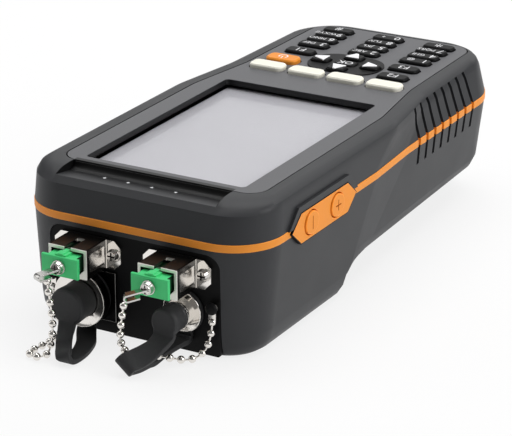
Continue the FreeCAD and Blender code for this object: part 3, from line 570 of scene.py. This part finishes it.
def printed_window():
    """Clear plate with a black border printed round the lit area."""
    material, place = new_finish("window_print")
    x, y, _ = spread(place)
    clear = between(x, -lit_half, lit_half) * between(y, lit_front, lit_rear)
    smear = noise(place, 9 * mm, 4.0)
    return finished(material, place, {"Base Color": (0.003, 0.003, 0.004, 1),
                                      "Alpha": 1 - clear * (0.97 - smear * 0.02),
                                      "Roughness": 0.1 + smear * 0.12})


def display_cells():
    """Unlit display: lavender grey, faint cell grid, slow change of tone."""
    material, place = new_finish("display_glass")
    x, y, _ = spread(place)
    rows = place.maths("FRACT", y * (1 / cell_pitch)) > cell_gap
    columns = place.maths("FRACT", x * (1 / cell_pitch)) > cell_gap
    tone = 0.99 + rows * columns * 0.012 + (noise(place, 60 * mm) - 0.5) * 0.06 + x * 0.0012
    return finished(material, place, {"Base Color": scaled((0.53, 0.525, 0.565), tone),
                                      "Roughness": 0.34 + (noise(place, 3 * mm) - 0.5) * 0.1,
                                      "Coat Weight": 0.35, "Coat Roughness": 0.08})


def paint(node, finish):
    """Gives a solid that stays in view a finish of its own."""
    frame["nodes"][node].material_slots[0].material = finish


paint("display_lens", printed_window())
paint("display_module", display_cells())
print("window border printed")

# %% [markdown]
# ## Keys
#
# The keys are moulded rubber, so they are softened copies with wide rounded edges. Every key has a
# joint of its own, and each copy rides on its own body.

# %% Keys
for node in frame["nodes"]:
    if node.startswith("soft_key"):
        skin(node, ivory_rubber, "ivory_rubber", 0.9, 4)
    elif node == "power_key":
        skin(node, orange_rubber, "orange_rubber", 0.4, 3)
    elif node.startswith("arrow_key"):
        skin(node, key_rubber, "white_rubber", 0.5, 3)
    elif node.startswith("side_key"):
        skin(node, orange_rubber, "orange_rubber", 0.35, 3)
    elif "_key" in node:
        skin(node, key_rubber, "dark_rubber", 0.3, 3)
print("keys:", sum("_key" in node for node in frame["nodes"]))

# %% [markdown]
# ## Legends
#
# Key legends are printed ink. An image would need a texture file, and text as geometry stays sharp at
# any distance, so each legend is a text turned into a thin mesh that lies on its key and rides with
# it. They read from the keypad end, as the keys do.

# %% Printed legends
face_turn = Matrix.Rotation(math.pi, 4, "Z")
digit_height, letter_height, word_height = 4.4, 2.7, 4.2
ink_thickness, ink_lift, mark_lift = 0.015, 0.01, 0.02


def key_top(node):
    """Middle of a key's top face."""
    low, high = (Vector(corner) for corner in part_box(node))
    return Vector(((low.x + high.x) / 2, (low.y + high.y) / 2, high.z))


def lettering(words, size, place):
    """Flat mesh of words of this height in mm, put in place by a matrix."""
    curve = bpy.data.curves.new("legend", "FONT")
    curve.body = words
    curve.size = size * mm
    curve.align_x = "CENTER"
    curve.align_y = "CENTER"
    curve.extrude = ink_thickness * mm
    curve.resolution_u = 3
    mesh = baked(new_object("legend", curve))
    mesh.transform(place)
    return mesh


def joined(name, meshes):
    """One mesh from several."""
    work = bmesh.new()
    for mesh in meshes:
        work.from_mesh(mesh)
    return as_mesh(work, name)


def print_legend(node, items, finish=legend_ink, slot="white_rubber"):
    """Prints words on a key. Each item is the words, their height and their place from the key's middle."""
    meshes = []
    for words, size, right, up in items:
        spot = Matrix.Translation(key_top(node) + Vector((-right, -up, ink_lift)) * mm)
        meshes.append(lettering(words, size, spot @ face_turn))
    name = node + "_legend"
    dress(name, joined(name, meshes), finish, frame["nodes"][node]["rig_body"], slot)


letters = {"2": "ABC", "3": "DEF", "4": "GHI", "5": "JKL", "6": "MNO", "7": "PQRS", "8": "TUV", "9": "WXYZ"}
for digit in "0123456789":
    extra = letters.get(digit, "+" if digit == "0" else "@")
    print_legend("number_key_" + digit, [(digit, digit_height, -3.5, 0.0), (extra, letter_height, 1.7, 0.0)])
print_legend("number_key_star", [("*", 6.4, 0.0, -1.0)])
print_legend("number_key_hash", [("#", word_height, 0.0, 0.0)])
print_legend("ok_key", [("OK", 3.9, 0.0, 0.0)], white_rubber)
for place, words in (("left", "F1"), ("right_1", "F2"), ("right_2", "F3")):
    print_legend("function_key_" + place, [(words, word_height, 0.0, 0.0)])
print("legends printed")

# %% [markdown]
# ## Drawn marks
#
# The power mark and the plus and minus of the side keys are lines of one width. A stroke function
# walks along points and lays a flat strip, which a matrix turns onto the face that carries it. The
# arrows are solid, so they are short blocks, made like the strip in the scoop.

# %% Power mark, plus, minus and arrows
def stroke(points, width):
    """Flat strip of a width along points in a plane, both in mm."""
    work = bmesh.new()
    sides = []
    for i, point in enumerate(points):
        ahead = Vector(points[min(i + 1, len(points) - 1)]) - Vector(points[max(i - 1, 0)])
        across = Vector((-ahead.y, ahead.x)).normalized() * (width / 2)
        sides.append([work.verts.new((Vector(point) + across * way).to_3d() * mm) for way in (-1, 1)])
    for (a, b), (c, d) in zip(sides, sides[1:]):
        work.faces.new((a, c, d, b))
    bmesh.ops.recalc_face_normals(work, faces=work.faces)
    return as_mesh(work, "stroke")


def draw_mark(node, strokes, width, place, finish, slot):
    """Draws strokes on a key's face, put in place by a matrix."""
    whole = joined(node + "_mark", [stroke(points, width) for points in strokes])
    whole.transform(place)
    dress(node + "_mark", whole, finish, frame["nodes"][node]["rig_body"], slot)


arc_radius = 1.5
arc_angles = [math.radians(45 + 15 * i) for i in range(19)]
arc = [(arc_radius * math.sin(angle), arc_radius * math.cos(angle)) for angle in arc_angles]
power_place = Matrix.Translation(key_top("power_key") + Vector((0, 0, mark_lift)) * mm) @ face_turn
draw_mark("power_key", [arc, [(0, 0.3), (0, 1.9)]], 0.45, power_place, white_rubber, "white_rubber")
side_turn = Matrix(((0, 0, 1, 0), (1, 0, 0, 0), (0, 1, 0, 0), (0, 0, 0, 1)))
for node, strokes in (("side_key_minus", [[(0, -2.1), (0, 2.1)]]),
                      ("side_key_plus", [[(0, -1.7), (0, 1.7)], [(-1.7, 0), (1.7, 0)]])):
    low, high = (Vector(corner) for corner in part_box(node))
    outer = Vector((high.x + mark_lift * mm, (low.y + high.y) / 2, (low.z + high.z) / 2))
    draw_mark(node, strokes, 0.38, Matrix.Translation(outer) @ side_turn, dark_orange, "orange_rubber")
arrow_outline = [(-2.0, -2.5), (2.3, -0.5), (2.3, 0.5), (-2.0, 2.5)]
for side, way in {"left": (1, 0), "right": (-1, 0), "up": (0, -1), "down": (0, 1)}.items():
    node = "arrow_key_" + side
    ahead = Vector((*way, 0))
    across = Vector((-way[1], way[0], 0))
    middle = key_top(node) / mm
    arrow = extruded(node + "_arrow", arrow_outline,
                     lambda u, v, lift: middle + ahead * u + across * v + Vector((0, 0, lift)),
                     -0.3, 0.25, 0.22)
    dress(node + "_arrow", arrow, white_rubber, frame["nodes"][node]["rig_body"], "white_rubber")
print("marks drawn")

# %% [markdown]
# ## Square adapters and plugs
#
# The adapters are plated metal tubes with an eared flange, and green dust plugs sit in them. Their
# solids are right, so they only need softened edges and a finish that tells rim, sides and inside
# apart, with a painted highlight on the rim and painted shade and reflections on the top, sides and
# inside. The plugs get painted shade on their necks and keys. The chain tags are folded strips of a
# satin metal with bare edges.

# %% Adapters, plugs and tags
plate_front = -88.2
adapter_x, adapter_z, adapter_front = 15.35, 26.5, -99.9


def adapter_metal():
    """Plated metal: polished flange, drawn sides with a painted reflection, painted shade on the top and
    inside, and a painted highlight on the rim and the end of the key slot.
    """
    material, place = new_finish("adapter_plating")
    x, y, z = spread(place)
    off = place.maths("ABSOLUTE", place.maths("ABSOLUTE", x) - adapter_x)
    lift = place.maths("ABSOLUTE", z - adapter_z)
    # Painted highlight: the rim and the end wall of the key slot are white and hardly metallic.
    slot_end = between(y, -93.1, -92.4) * (off < 1.3) * between(lift, 3.7, 4.7)
    rim = place.maths("MAXIMUM", y < adapter_front, slot_end)
    tube = between(y, adapter_front, plate_front - 1.4)
    # Painted reflections and shade: the sides are darkened outside their recess band, the top is dark as a
    # painted reflection, and the inside takes painted shade.
    side = tube * (off > 6.0)
    top = tube * (z > adapter_z + 4.45)
    inside = between(y, adapter_front, plate_front + 4.0) * (off < 5.75) * (lift < 3.8)
    slow = noise(place, 4 * mm, 3.0) - 0.5
    frame_part = 1 - (lift < 2.7) * between(y, -98.6, -90.4)
    shade = (1 + slow * 0.16) * (1 - top * 0.94) * (1 - inside * 0.97) * (1 - side * frame_part * 0.85)
    shade = shade + rim * 0.15
    roughness = 0.13 + side * 0.1 + top * 0.22 + inside * 0.4 + rim * 0.25 + slow * 0.08
    return finished(material, place, {"Base Color": scaled((0.84, 0.81, 0.77), shade),
                                      "Metallic": 1 - rim * 0.85, "Roughness": roughness})


adapter_nickel = adapter_metal()
for side in ("left", "right"):
    skin("sc_adapter_" + side, adapter_nickel, "nickel", 0.22)
    skin("sc_plug_" + side, green_plastic, "green_plastic", 0.25)
    skin("chain_tag_" + side, tag_metal, "steel", 0.12)
print("adapters, plugs and tags dressed")

# %% [markdown]
# ## Screw heads
#
# Screws repeat, so a node tree makes them: a tapered head, less a cross of two bars, put at each point
# of a small mesh of points. The sizes are inputs of the tree, and the same tree serves the flanges,
# the plug faces and the case.

# %% Node trees and screws
def new_tree(name, sizes):
    """New Geometry Nodes tree with named number inputs. Gives the tree and a wire from its inputs."""
    tree = bpy.data.node_groups.new(name, "GeometryNodeTree")
    tree.interface.new_socket("Geometry", in_out="INPUT", socket_type="NodeSocketGeometry")
    tree.interface.new_socket("Geometry", in_out="OUTPUT", socket_type="NodeSocketGeometry")
    for label, value in sizes.items():
        kind = "NodeSocketInt" if isinstance(value, int) else "NodeSocketFloat"
        tree.interface.new_socket(label, in_out="INPUT", socket_type=kind).default_value = value
    return tree, Wire(tree).node("NodeGroupInput")


def close_tree(result, finish):
    """Ends a tree in plain geometry with its finish."""
    solid = result.node("GeometryNodeRealizeInstances", inputs={"Geometry": result})
    done = result.node("GeometryNodeSetMaterial", inputs={"Geometry": solid, "Material": finish})
    result.node("NodeGroupOutput", inputs={"Geometry": done})


def grown(name, tree, base, sizes):
    """Mesh that a tree grows on a base mesh with these sizes."""
    host = new_object(name + "_host", base)
    modifier = host.modifiers.new("grown", "NODES")
    modifier.node_group = tree
    for item in tree.interface.items_tree:
        if item.in_out == "INPUT" and item.name in sizes:
            modifier[item.identifier] = sizes[item.name]
    mesh = baked(host)
    mesh.name = name
    return mesh


def screw_tree(finish):
    """Tapered cross-slot screw heads, one at each point, standing along Z."""
    tree, size = new_tree("screw_heads", {"Head radius": 1.9 * mm, "Head height": 1.3 * mm,
                                          "Slot width": 0.5 * mm})
    radius, height, slot = (size.also(label) for label in ("Head radius", "Head height", "Slot width"))
    head = size.node("GeometryNodeMeshCone", inputs={"Vertices": 32, "Radius Top": radius * 0.74,
                                                     "Radius Bottom": radius, "Depth": height}, output="Mesh")
    bars = []
    for wide, deep in ((radius * 1.3, slot), (slot, radius * 1.3)):
        box = size.node("ShaderNodeCombineXYZ", inputs={"X": wide, "Y": deep, "Z": height})
        bar = size.node("GeometryNodeMeshCube", inputs={"Size": box}, output="Mesh")
        lift = size.node("ShaderNodeCombineXYZ", inputs={"X": 0.0, "Y": 0.0, "Z": height})
        bars.append(size.node("GeometryNodeTransform", inputs={"Geometry": bar, "Translation": lift}))
    cut = size.node("GeometryNodeMeshBoolean", {"operation": "DIFFERENCE"},
                    {"Mesh 1": head, "Mesh 2": bars[0]})
    cut.feed(cut.socket.node.inputs["Mesh 2"], bars[1])
    heads = size.node("GeometryNodeInstanceOnPoints", inputs={"Points": size, "Instance": cut})
    close_tree(heads, finish)
    return tree


screws = screw_tree(steel)


def head_sizes(radius, height, slot):
    """Sizes of a screw head, in mm."""
    return {"Head radius": radius, "Head height": height, "Slot width": slot}


def add_screws(name, places, axis, sizes, body, *nodes):
    """Screw heads whose undersides stand at these places, in mm, looking along an axis."""
    turn = Vector((0, 0, 1)).rotation_difference(Vector(axis)).to_matrix().to_4x4()
    base = bpy.data.meshes.new(name + "_points")
    points = [turn.inverted() @ (Vector(place) * mm) for place in places]
    base.from_pydata(points, [], [])
    mesh = grown(name, screws, base, {label: value * mm for label, value in sizes.items()})
    work = bmesh.new()
    work.from_mesh(mesh)
    # Faces inside the cross slot are marked for a painted shadow in the slot.
    mark = work.faces.layers.float.new("slot_shadow")
    top = max(vertex.co.z for vertex in work.verts)
    slot_reach = sizes["Head radius"] * 0.7 * mm
    slot_floor = top - sizes["Head height"] * 0.95 * mm
    spots = [spot.xy for spot in points]
    for face in work.faces:
        middle = face.calc_center_median()
        off = min((middle.xy - spot).length for spot in spots)
        if off < slot_reach and slot_floor < middle.z < top - 0.1 * mm:
            face[mark] = 1.0
    work.transform(turn)
    dress(name, rounded_off(work, name, 0.12), steel, body, "steel", *nodes)


flange_face, plug_face = plate_front - 1.2, -105.2
ear_offset = 9.0
ears = [(side * adapter_x + ear * ear_offset, flange_face, adapter_z) for side in (-1, 1) for ear in (-1, 1)]
add_screws("flange_screws", ears, (0, -1, 0), head_sizes(2.0, 1.4, 0.55), "housing", "adapter_screws")
for side, way in (("left", -1), ("right", 1)):
    add_screws("tag_screw_" + side, [(way * adapter_x, plug_face, adapter_z)], (0, -1, 0),
               head_sizes(2.0, 1.7, 0.6), "sc_plug_%s_body" % side)
case_rows = ((24.07, -75.5), (11.0, 70.4))
case_places = [(side * x, y, 2.0) for x, y in case_rows for side in (-1, 1)]
add_screws("case_screw_heads", case_places, (0, 0, -1), head_sizes(2.5, 1.4, 0.6), "housing", "case_screws")
print("screws:", len(ears) + len(case_places) + 2)

# %% [markdown]
# ## Round ports
#
# The two ports are turned parts, so they are made as on a lathe: a profile of radii along the axis is
# carried round in steps. The power-meter port is a black grip ring with a polished dish in front, on a
# black flange. The visible-light port is one polished part with a shallow dish.

# %% Turned ports
pm_axis = (-15.1, 12.746)
vfl_axis = (17.3, 13.841)


def bridge(work, before, row):
    """Band of faces between two closed rows of points."""
    for j in range(len(row)):
        work.faces.new((before[j - 1], before[j], row[j], row[j - 1]))


def turned(name, profile, axis, width, steps=96):
    """Mesh of revolution about an axis along Y. The closed profile holds radius and place along Y, in mm."""
    work = bmesh.new()
    x, z = axis
    rows = []
    for i in range(steps):
        angle = 2 * math.pi * i / steps
        rows.append([work.verts.new(Vector((x + r * math.cos(angle), y, z + r * math.sin(angle))) * mm)
                     for r, y in profile])
    for i, row in enumerate(rows):
        bridge(work, rows[i - 1], row)
    bmesh.ops.remove_doubles(work, verts=work.verts, dist=merge_distance)
    bmesh.ops.recalc_face_normals(work, faces=work.faces)
    return rounded_off(work, name, width)


def thread(radius, depth, start, stop, pitch):
    """Profile of a threaded run: radius and place along Y, from start to stop."""
    turns = int(abs(stop - start) / pitch)
    way = (stop - start) / turns
    points = []
    for i in range(turns):
        points += [(radius, start + way * (i + 0.1)), (radius, start + way * (i + 0.4)),
                   (radius - depth, start + way * (i + 0.65)), (radius - depth, start + way * (i + 0.85))]
    return points


ring_back, ring_front = plate_front - 3.4, plate_front - 7.0
dish_back = ring_front + 1.0
pm_tip = -97.8
dish = [(1.25, dish_back + 0.6), (8.72, ring_front + 0.75), (8.72, ring_front + 0.02),
        (8.5, ring_front - 0.02), (5.7, dish_back), (4.0, dish_back)]
dish += thread(4.0, 0.3, dish_back - 0.5, pm_tip, 0.9)
dish += [(3.7, pm_tip), (2.4, pm_tip), (2.0, pm_tip + 0.6), (1.25, pm_tip + 0.6)]
dress("pm_dish", turned("pm_dish", dish, pm_axis, 0.06), nickel, "housing", "nickel", "pm_port")
grip = [(6.2, plate_front - 1.0), (6.2, ring_back), (8.55, ring_back), (8.75, ring_back - 0.2),
        (8.75, ring_front + 0.3), (8.6, ring_front + 0.1), (6.0, ring_front + 0.9), (4.0, plate_front - 1.0)]
dress("pm_grip_ring", turned("pm_grip_ring", grip, pm_axis, 0.16), ring_metal, "housing", "black_plastic")
flange_outline = [(-9.1, -7.9), (9.1, -7.9), (9.1, 7.9), (-9.1, 7.9)]
flange = extruded("pm_flange", flange_outline, lambda u, v, y: Vector((pm_axis[0] + u, y, pm_axis[1] + v)),
                  plate_front - 1.0, plate_front - 0.01, 0.16)
dress("pm_flange", flange, black_metal, "housing", "black_plastic")
rim_back, rim_front, vfl_tip = plate_front - 1.25, plate_front - 2.05, -95.9
collar = [(1.25, -80.2), (4.8, -80.2), (4.8, rim_back), (6.25, rim_back), (6.45, rim_back - 0.2),
          (6.45, rim_front + 0.2), (6.25, rim_front), (4.3, rim_front + 0.5), (4.3, plate_front - 5.2),
          (2.6, plate_front - 5.2), (2.6, vfl_tip), (1.25, vfl_tip)]
dress("vfl_collar", turned("vfl_collar", collar, vfl_axis, 0.1), nickel, "housing", "nickel", "vfl_port")
print("ports turned")

# %% [markdown]
# ## Knurl of the grip ring
#
# The grip ring has fine straight ribs. They stand in a circle, so a node tree puts one small block at
# each point of a circle and turns it outwards.

# %% Ribs of the grip ring
def rib_tree(finish):
    """Ring of blocks about Z, sized by the tree's inputs."""
    tree, size = new_tree("grip_ribs", {"Ribs": 84, "Ring radius": 8.7 * mm, "Rib height": 0.3 * mm,
                                        "Rib width": 0.3 * mm, "Rib length": 2.8 * mm})
    ring = size.node("GeometryNodeMeshCircle", inputs={"Vertices": size.also("Ribs"),
                                                       "Radius": size.also("Ring radius")})
    box = size.node("ShaderNodeCombineXYZ", inputs={"X": size.also("Rib height"), "Y": size.also("Rib width"),
                                                    "Z": size.also("Rib length")})
    block = size.node("GeometryNodeMeshCube", inputs={"Size": box}, output="Mesh")
    step = size.node("GeometryNodeInputIndex") * 2 * math.pi
    angle = size.maths("DIVIDE", step, size.also("Ribs"))
    turn = size.node("ShaderNodeCombineXYZ", inputs={"X": 0.0, "Y": 0.0, "Z": angle})
    blocks = size.node("GeometryNodeInstanceOnPoints",
                       inputs={"Points": ring, "Instance": block, "Rotation": turn})
    close_tree(blocks, finish)
    return tree


ribs = grown("pm_grip_ribs", rib_tree(black_metal), bpy.data.meshes.new("rib_base"), {})
ring_middle = Vector((pm_axis[0], (ring_back + ring_front) / 2, pm_axis[1])) * mm
ribs.transform(Matrix.Translation(ring_middle) @ Matrix.Rotation(math.pi / 2, 4, "X"))
dress("pm_grip_ribs", ribs, black_metal, "housing", "black_plastic")
print("rib faces:", len(ribs.polygons))

# %% [markdown]
# ## Rubber caps
#
# Each port has a soft cap. It is turned too, with a wide rounding at its closed end and a small lip at
# its mouth, and hollow, because it is seen from behind when it is pulled off.

# %% Caps
def add_cap(name, axis, face, back, outer, barrel, body):
    """Hollow rubber cap that stands for its solid."""
    clearance, wall = 0.3, 1.8
    inner = barrel + clearance
    profile = [(0.0, face - 1.98), (outer - 1.0, face - 1.97), (outer - 0.45, face - 1.75),
               (outer - 0.12, face - 1.2), (outer, face - 0.4), (outer - 0.3, back - 1.3),
               (outer - 0.3, back - 0.9), (outer - 0.15, back - 0.7), (outer - 0.15, back), (inner, back),
               (inner, face + wall), (0.0, face + wall)]
    mesh = turned(name + "_rubber", profile, axis, 0.15)
    dress(name + "_rubber", mesh, cap_rubber, body, "black_rubber", name)


pm_face, vfl_face = -100.4, -98.5
add_cap("pm_cap", pm_axis, pm_face, dish_back - 0.35, 5.9, 4.0, "pm_cap_body")
add_cap("vfl_cap", vfl_axis, vfl_face, plate_front - 5.55, 4.5, 2.6, "vfl_cap_body")
print("caps turned")

# %% [markdown]
# ## Straps
#
# A moulded strap ties each cap to its port: it leaves the cap's face, folds on the table and comes back
# to a ring round the port's neck. A section with rounded corners is carried along a smooth line
# through the route's points. The strap, with its ring, is one mesh.

# %% Straps
strap_thickness, strap_corner = 1.7, 0.4
lean_start, lean_run = 4.5, 5.5
fold_run, ring_start, ring_run = 10, 26, 12


def smooth_line(points):
    """Curve through points, as a list of closer points."""
    steps = 6
    line = []
    for i in range(len(points) - 1):
        a, b, c, d = (Vector(points[min(max(i + k, 0), len(points) - 1)]) for k in (-1, 0, 1, 2))
        for step in range(steps):
            t = step / steps
            line.append(0.5 * (2 * b + (c - a) * t + (2 * a - 5 * b + 4 * c - d) * t ** 2
                               + (3 * b - a - 3 * c + d) * t ** 3))
    return line + [Vector(points[-1])]


def ribbon_section(width):
    """Outline of a strap of this width with rounded corners, in mm."""
    half_width, half_height = width / 2 - strap_corner, strap_thickness / 2 - strap_corner
    outline = []
    for i, (right, top) in enumerate(((1, 1), (-1, 1), (-1, -1), (1, -1))):
        centre = Vector((half_width * right, half_height * top))
        for step in range(4):
            angle = math.pi / 2 * (i + step / 3)
            outline.append(centre + Vector((math.cos(angle), math.sin(angle))) * strap_corner)
    return outline


def ribbon(name, line, widths, face, roll):
    """Strip along a line, with its width at the cap, at the fold and at the ring, in mm. It lies across
    X near the cap, and its fold is rolled by an angle that lowers the right edge."""
    work = bmesh.new()
    rows = []
    run = 0.0
    at_cap, at_fold, at_ring = widths
    for i, point in enumerate(line):
        ahead = (line[min(i + 1, len(line) - 1)] - line[max(i - 1, 0)]).normalized()
        lean = roll * min(max(face - point.y - lean_start, 0) / lean_run, 1)
        side = Vector((math.cos(lean), 0, -math.sin(lean)))
        across = (side - ahead * side.dot(ahead)).normalized()
        up = across.cross(ahead)
        run += (point - line[max(i - 1, 0)]).length
        width = at_cap + (at_fold - at_cap) * min(run / fold_run, 1)
        width += (at_ring - at_fold) * min(max(run - ring_start, 0) / ring_run, 1)
        rows.append([work.verts.new((point + across * u + up * v) * mm) for u, v in ribbon_section(width)])
    for before, row in zip(rows, rows[1:]):
        bridge(work, before, row)
    work.faces.new(rows[0])
    work.faces.new(rows[-1][::-1])
    bmesh.ops.recalc_face_normals(work, faces=work.faces)
    return as_mesh(work, name)


def add_strap(name, axis, face, route, widths, roll, neck, ring_y):
    """Strap with its ring, from the route's points: forward of the cap's face, sideways, height."""
    line = smooth_line([(axis[0] + sway, face - forward, height) for forward, sway, height in route])
    band = ribbon(name, line, widths, face, math.radians(roll))
    front, rear = ring_y - 0.5, ring_y + 0.5
    inner, outer = neck + 0.1, neck + 1.8
    ring = turned(name + "_ring", [(inner, front), (outer, front), (outer, rear), (inner, rear)], axis, 0.2)
    half, low, high = 2.9, -neck - 3.2, -neck - 0.4
    tongue = extruded(name + "_tongue", [(-half, low), (half, low), (half, high), (-half, high)],
                      lambda u, v, y: Vector((axis[0] + u, y, axis[1] + v)), front, rear, 0.2)
    piece = add_piece(name + "_rubber", joined(name + "_rubber", [band, ring, tongue]), cap_rubber)
    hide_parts(name)
    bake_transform(piece)
    print(name, "faces:", len(piece.data.polygons))


pm_z, vfl_z = pm_axis[1], vfl_axis[1]
pm_route = [(1.05, 0.0, pm_z + 1.0), (1.05, 0.0, pm_z - 3.4), (1.3, 0.1, 7.9), (2.4, 0.4, 6.3),
            (4.7, 1.3, 4.9), (7.5, 2.8, 4.2), (10.3, 4.6, 4.0), (12.3, 5.8, 3.7), (13.2, 6.5, 2.7),
            (12.6, 6.8, 1.7), (11.0, 7.1, 1.15), (7.5, 7.1, 1.05), (3.0, 6.2, 1.05), (-2.0, 4.3, 1.1),
            (-6.0, 1.8, 1.3), (-8.3, 0.4, 1.9), (-9.5, 0.0, 3.0), (-10.0, 0.0, 4.4),
            (-10.05, 0.0, pm_z - 7.4)]
vfl_route = [(1.05, 0.0, vfl_z + 0.5), (1.05, 0.0, vfl_z - 2.8), (1.4, -0.1, 9.7), (2.7, -0.5, 8.5),
             (5.1, -1.3, 7.1), (7.9, -2.7, 5.8), (10.4, -4.2, 5.0), (12.4, -5.4, 4.6), (13.3, -6.2, 3.7),
             (12.4, -6.9, 2.85), (10.6, -6.8, 2.7), (7.0, -6.0, 1.8), (3.0, -5.0, 1.3), (-1.0, -3.9, 2.5),
             (-4.6, -2.2, 3.9), (-7.2, -0.8, 4.7), (-8.6, -0.1, 5.0), (-9.2, 0.0, 5.5), (-9.25, 0.0, 6.6)]
add_strap("pm_strap", pm_axis, pm_face, pm_route, widths=(7.0, 4.8, 6.0), roll=0, neck=6.2,
          ring_y=(plate_front - 1.0 + ring_back) / 2)
add_strap("vfl_strap", vfl_axis, vfl_face, vfl_route, widths=(7.4, 6.4, 5.8), roll=40, neck=4.8,
          ring_y=(plate_front + rim_back) / 2)

# %% [markdown]
# ## Bead chains
#
# The plugs hang on fine bead chains. A chain follows a path and its beads repeat, so its line is a
# NURBS curve with the route's points as control points, and a node tree walks along it: beads at even
# steps, and a thin wire through them.

# %% Chains
bead_radius, bead_pitch, wire_radius = 1.2, 3.3, 0.32
anchor_x, anchor_z = 27.6, 17.0


def route_line(name, points):
    """Points along a NURBS curve with these control points, in mm."""
    curve = bpy.data.curves.new(name, "CURVE")
    curve.dimensions = "3D"
    curve.resolution_u = 12
    spline = curve.splines.new("NURBS")
    spline.points.add(len(points) - 1)
    for knot, point in zip(spline.points, points):
        knot.co = (Vector(point) * mm).to_4d()
    spline.order_u = 3
    spline.use_endpoint_u = True
    return baked(new_object(name, curve))


def chain_tree(finish):
    """Beads at even steps along an edge line, with a wire through them."""
    tree, size = new_tree("bead_chain", {"Bead radius": bead_radius * mm, "Pitch": bead_pitch * mm,
                                         "Wire radius": wire_radius * mm})
    bead_size, pitch, wire_size = (size.also(label) for label in ("Bead radius", "Pitch", "Wire radius"))
    line = size.node("GeometryNodeMeshToCurve", inputs={"Mesh": size})
    steps = size.node("GeometryNodeResampleCurve", {"mode": "LENGTH"}, {"Curve": line, "Length": pitch})
    bead = size.node("GeometryNodeMeshUVSphere", inputs={"Segments": 16, "Rings": 10, "Radius": bead_size},
                     output="Mesh")
    beads = size.node("GeometryNodeInstanceOnPoints", inputs={"Points": steps, "Instance": bead})
    circle = size.node("GeometryNodeCurvePrimitiveCircle", inputs={"Resolution": 8, "Radius": wire_size})
    wire = size.node("GeometryNodeCurveToMesh",
                     inputs={"Curve": line, "Profile Curve": circle, "Fill Caps": True})
    both = size.node("GeometryNodeJoinGeometry", inputs={"Geometry": beads})
    both.feed(both.socket.node.inputs["Geometry"], wire)
    close_tree(both, finish)
    return tree


beads = chain_tree(nickel)


def add_chain(side, route):
    """Bead chain from its plug's tag to its anchor."""
    line = route_line("chain_line_" + side, [(x, plate_front - forward, z) for x, forward, z in route])
    piece = add_piece("bead_chain_" + side, grown("bead_chain_" + side, beads, line, {}), nickel)
    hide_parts("sc_chain_" + side)
    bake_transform(piece)


left_route = [(-16.7, 20.9, adapter_z - 3.1), (-15.9, 20.9, adapter_z - 9.0), (-15.3, 20.8, 12.0),
              (-15.4, 20.8, 7.6), (-15.9, 20.9, 3.9), (-15.8, 22.6, 1.45), (-15.8, 24.9, 1.3),
              (-17.35, 26.45, 1.3), (-19.55, 26.45, 1.3), (-21.1, 24.9, 1.3), (-21.1, 22.7, 1.3),
              (-20.4, 18.7, 1.3), (-19.9, 13.8, 1.3), (-20.4, 9.3, 1.3), (-22.6, 5.4, 1.9),
              (-25.4, 3.3, anchor_z - 11.4), (-27.4, 2.1, anchor_z - 7.8), (-anchor_x, 1.75, anchor_z - 4.4)]
right_route = [(9.4, 20.8, adapter_z - 5.4), (8.0, 20.2, adapter_z - 11.4), (6.9, 19.2, 8.6),
               (6.9, 16.6, 4.0), (12.6, 13.9, 4.2), (18.6, 11.8, 3.2), (23.6, 7.6, 1.7), (26.2, 4.0, 3.5),
               (27.5, 2.3, anchor_z - 9.0), (anchor_x, 1.75, anchor_z - 4.4)]
add_chain("left", left_route)
add_chain("right", right_route)

# %% [markdown]
# ## Chain anchors
#
# The chains end at small tags under black knobs on the plate. The tags are softened copies, and a knob
# is a small turned piece over each.

# %% Anchors
skin("chain_anchors", nickel, "steel", 0.1)
knob = [(0.0, -91.7), (1.0, -91.6), (1.7, -91.3), (1.95, -90.8), (1.9, -90.3), (1.2, -90.0), (0.0, -90.0)]
for side, way in (("left", -1), ("right", 1)):
    name = "anchor_knob_" + side
    mesh = turned(name, knob, (way * anchor_x, anchor_z), 0.1, steps=32)
    dress(name, mesh, plate_plastic, "housing", "black_plastic")
print("anchors dressed")

# %% [markdown]
# ## Pieces inside
#
# Little of the inside is seen, and it still gets finishes of its own: the board's green mask with fine
# tracks, the domes' steel, the shrink wrap of the battery, the milled block and the white sleeves.

# %% Inner finishes
def solder_mask():
    """Green board with slightly raised tracks that jog from side to side."""
    material, place = new_finish("green_solder_mask")
    mask, track = (0.01, 0.09, 0.035, 1), (0.02, 0.16, 0.07, 1)
    track_pitch = 1.2 * mm
    spot = place.node("ShaderNodeSeparateXYZ", inputs={"Vector": place}, output="X")
    jog = noise(place, 6 * mm) * 2
    tracks = place.maths("FRACT", spot * (1 / track_pitch) + place.maths("FLOOR", jog * 3) * 0.5) < 0.3
    return finished(material, place, {"Base Color": place.mixed(tracks, mask, track), "Coat Weight": 0.2,
                                      "Roughness": 0.45 - tracks * 0.12, "Normal": bumped(tracks, 0.4, 0.02)})


paint("main_board", solder_mask())
paint("key_domes", steel)
paint("battery_pack", moulded("blue_shrink_wrap", (0.02, 0.06, 0.2), 0.3, grain=1.2, depth=0.03, coat=0.3))
paint("optical_block", plated("milled_aluminium", (0.6, 0.6, 0.61), 0.3, (0.05, 1, 1)))
paint("adapter_sleeves", moulded("white_ceramic", (0.86, 0.85, 0.82), 0.2, grain=0.2, depth=0.003, coat=0.4))


def light_pipe_shade(x, y, z):
    """Pale core of each status light in a dark sleeve."""
    first_x, light_y, light_pitch = -15.6, -78.9, 8.2
    across = (x - first_x) * (1 / light_pitch) + 0.5
    off = (across.maths("FRACT", across) - 0.5) * light_pitch
    return 0.05 + ((off * off + (y - light_y) * (y - light_y)) < 0.2) * 0.95


paint("led_lenses", moulded("milky_light_pipe", (0.7, 0.71, 0.73), 0.3, grain=0.3, depth=0.004,
                            patch=light_pipe_shade))
print("inner finishes set")
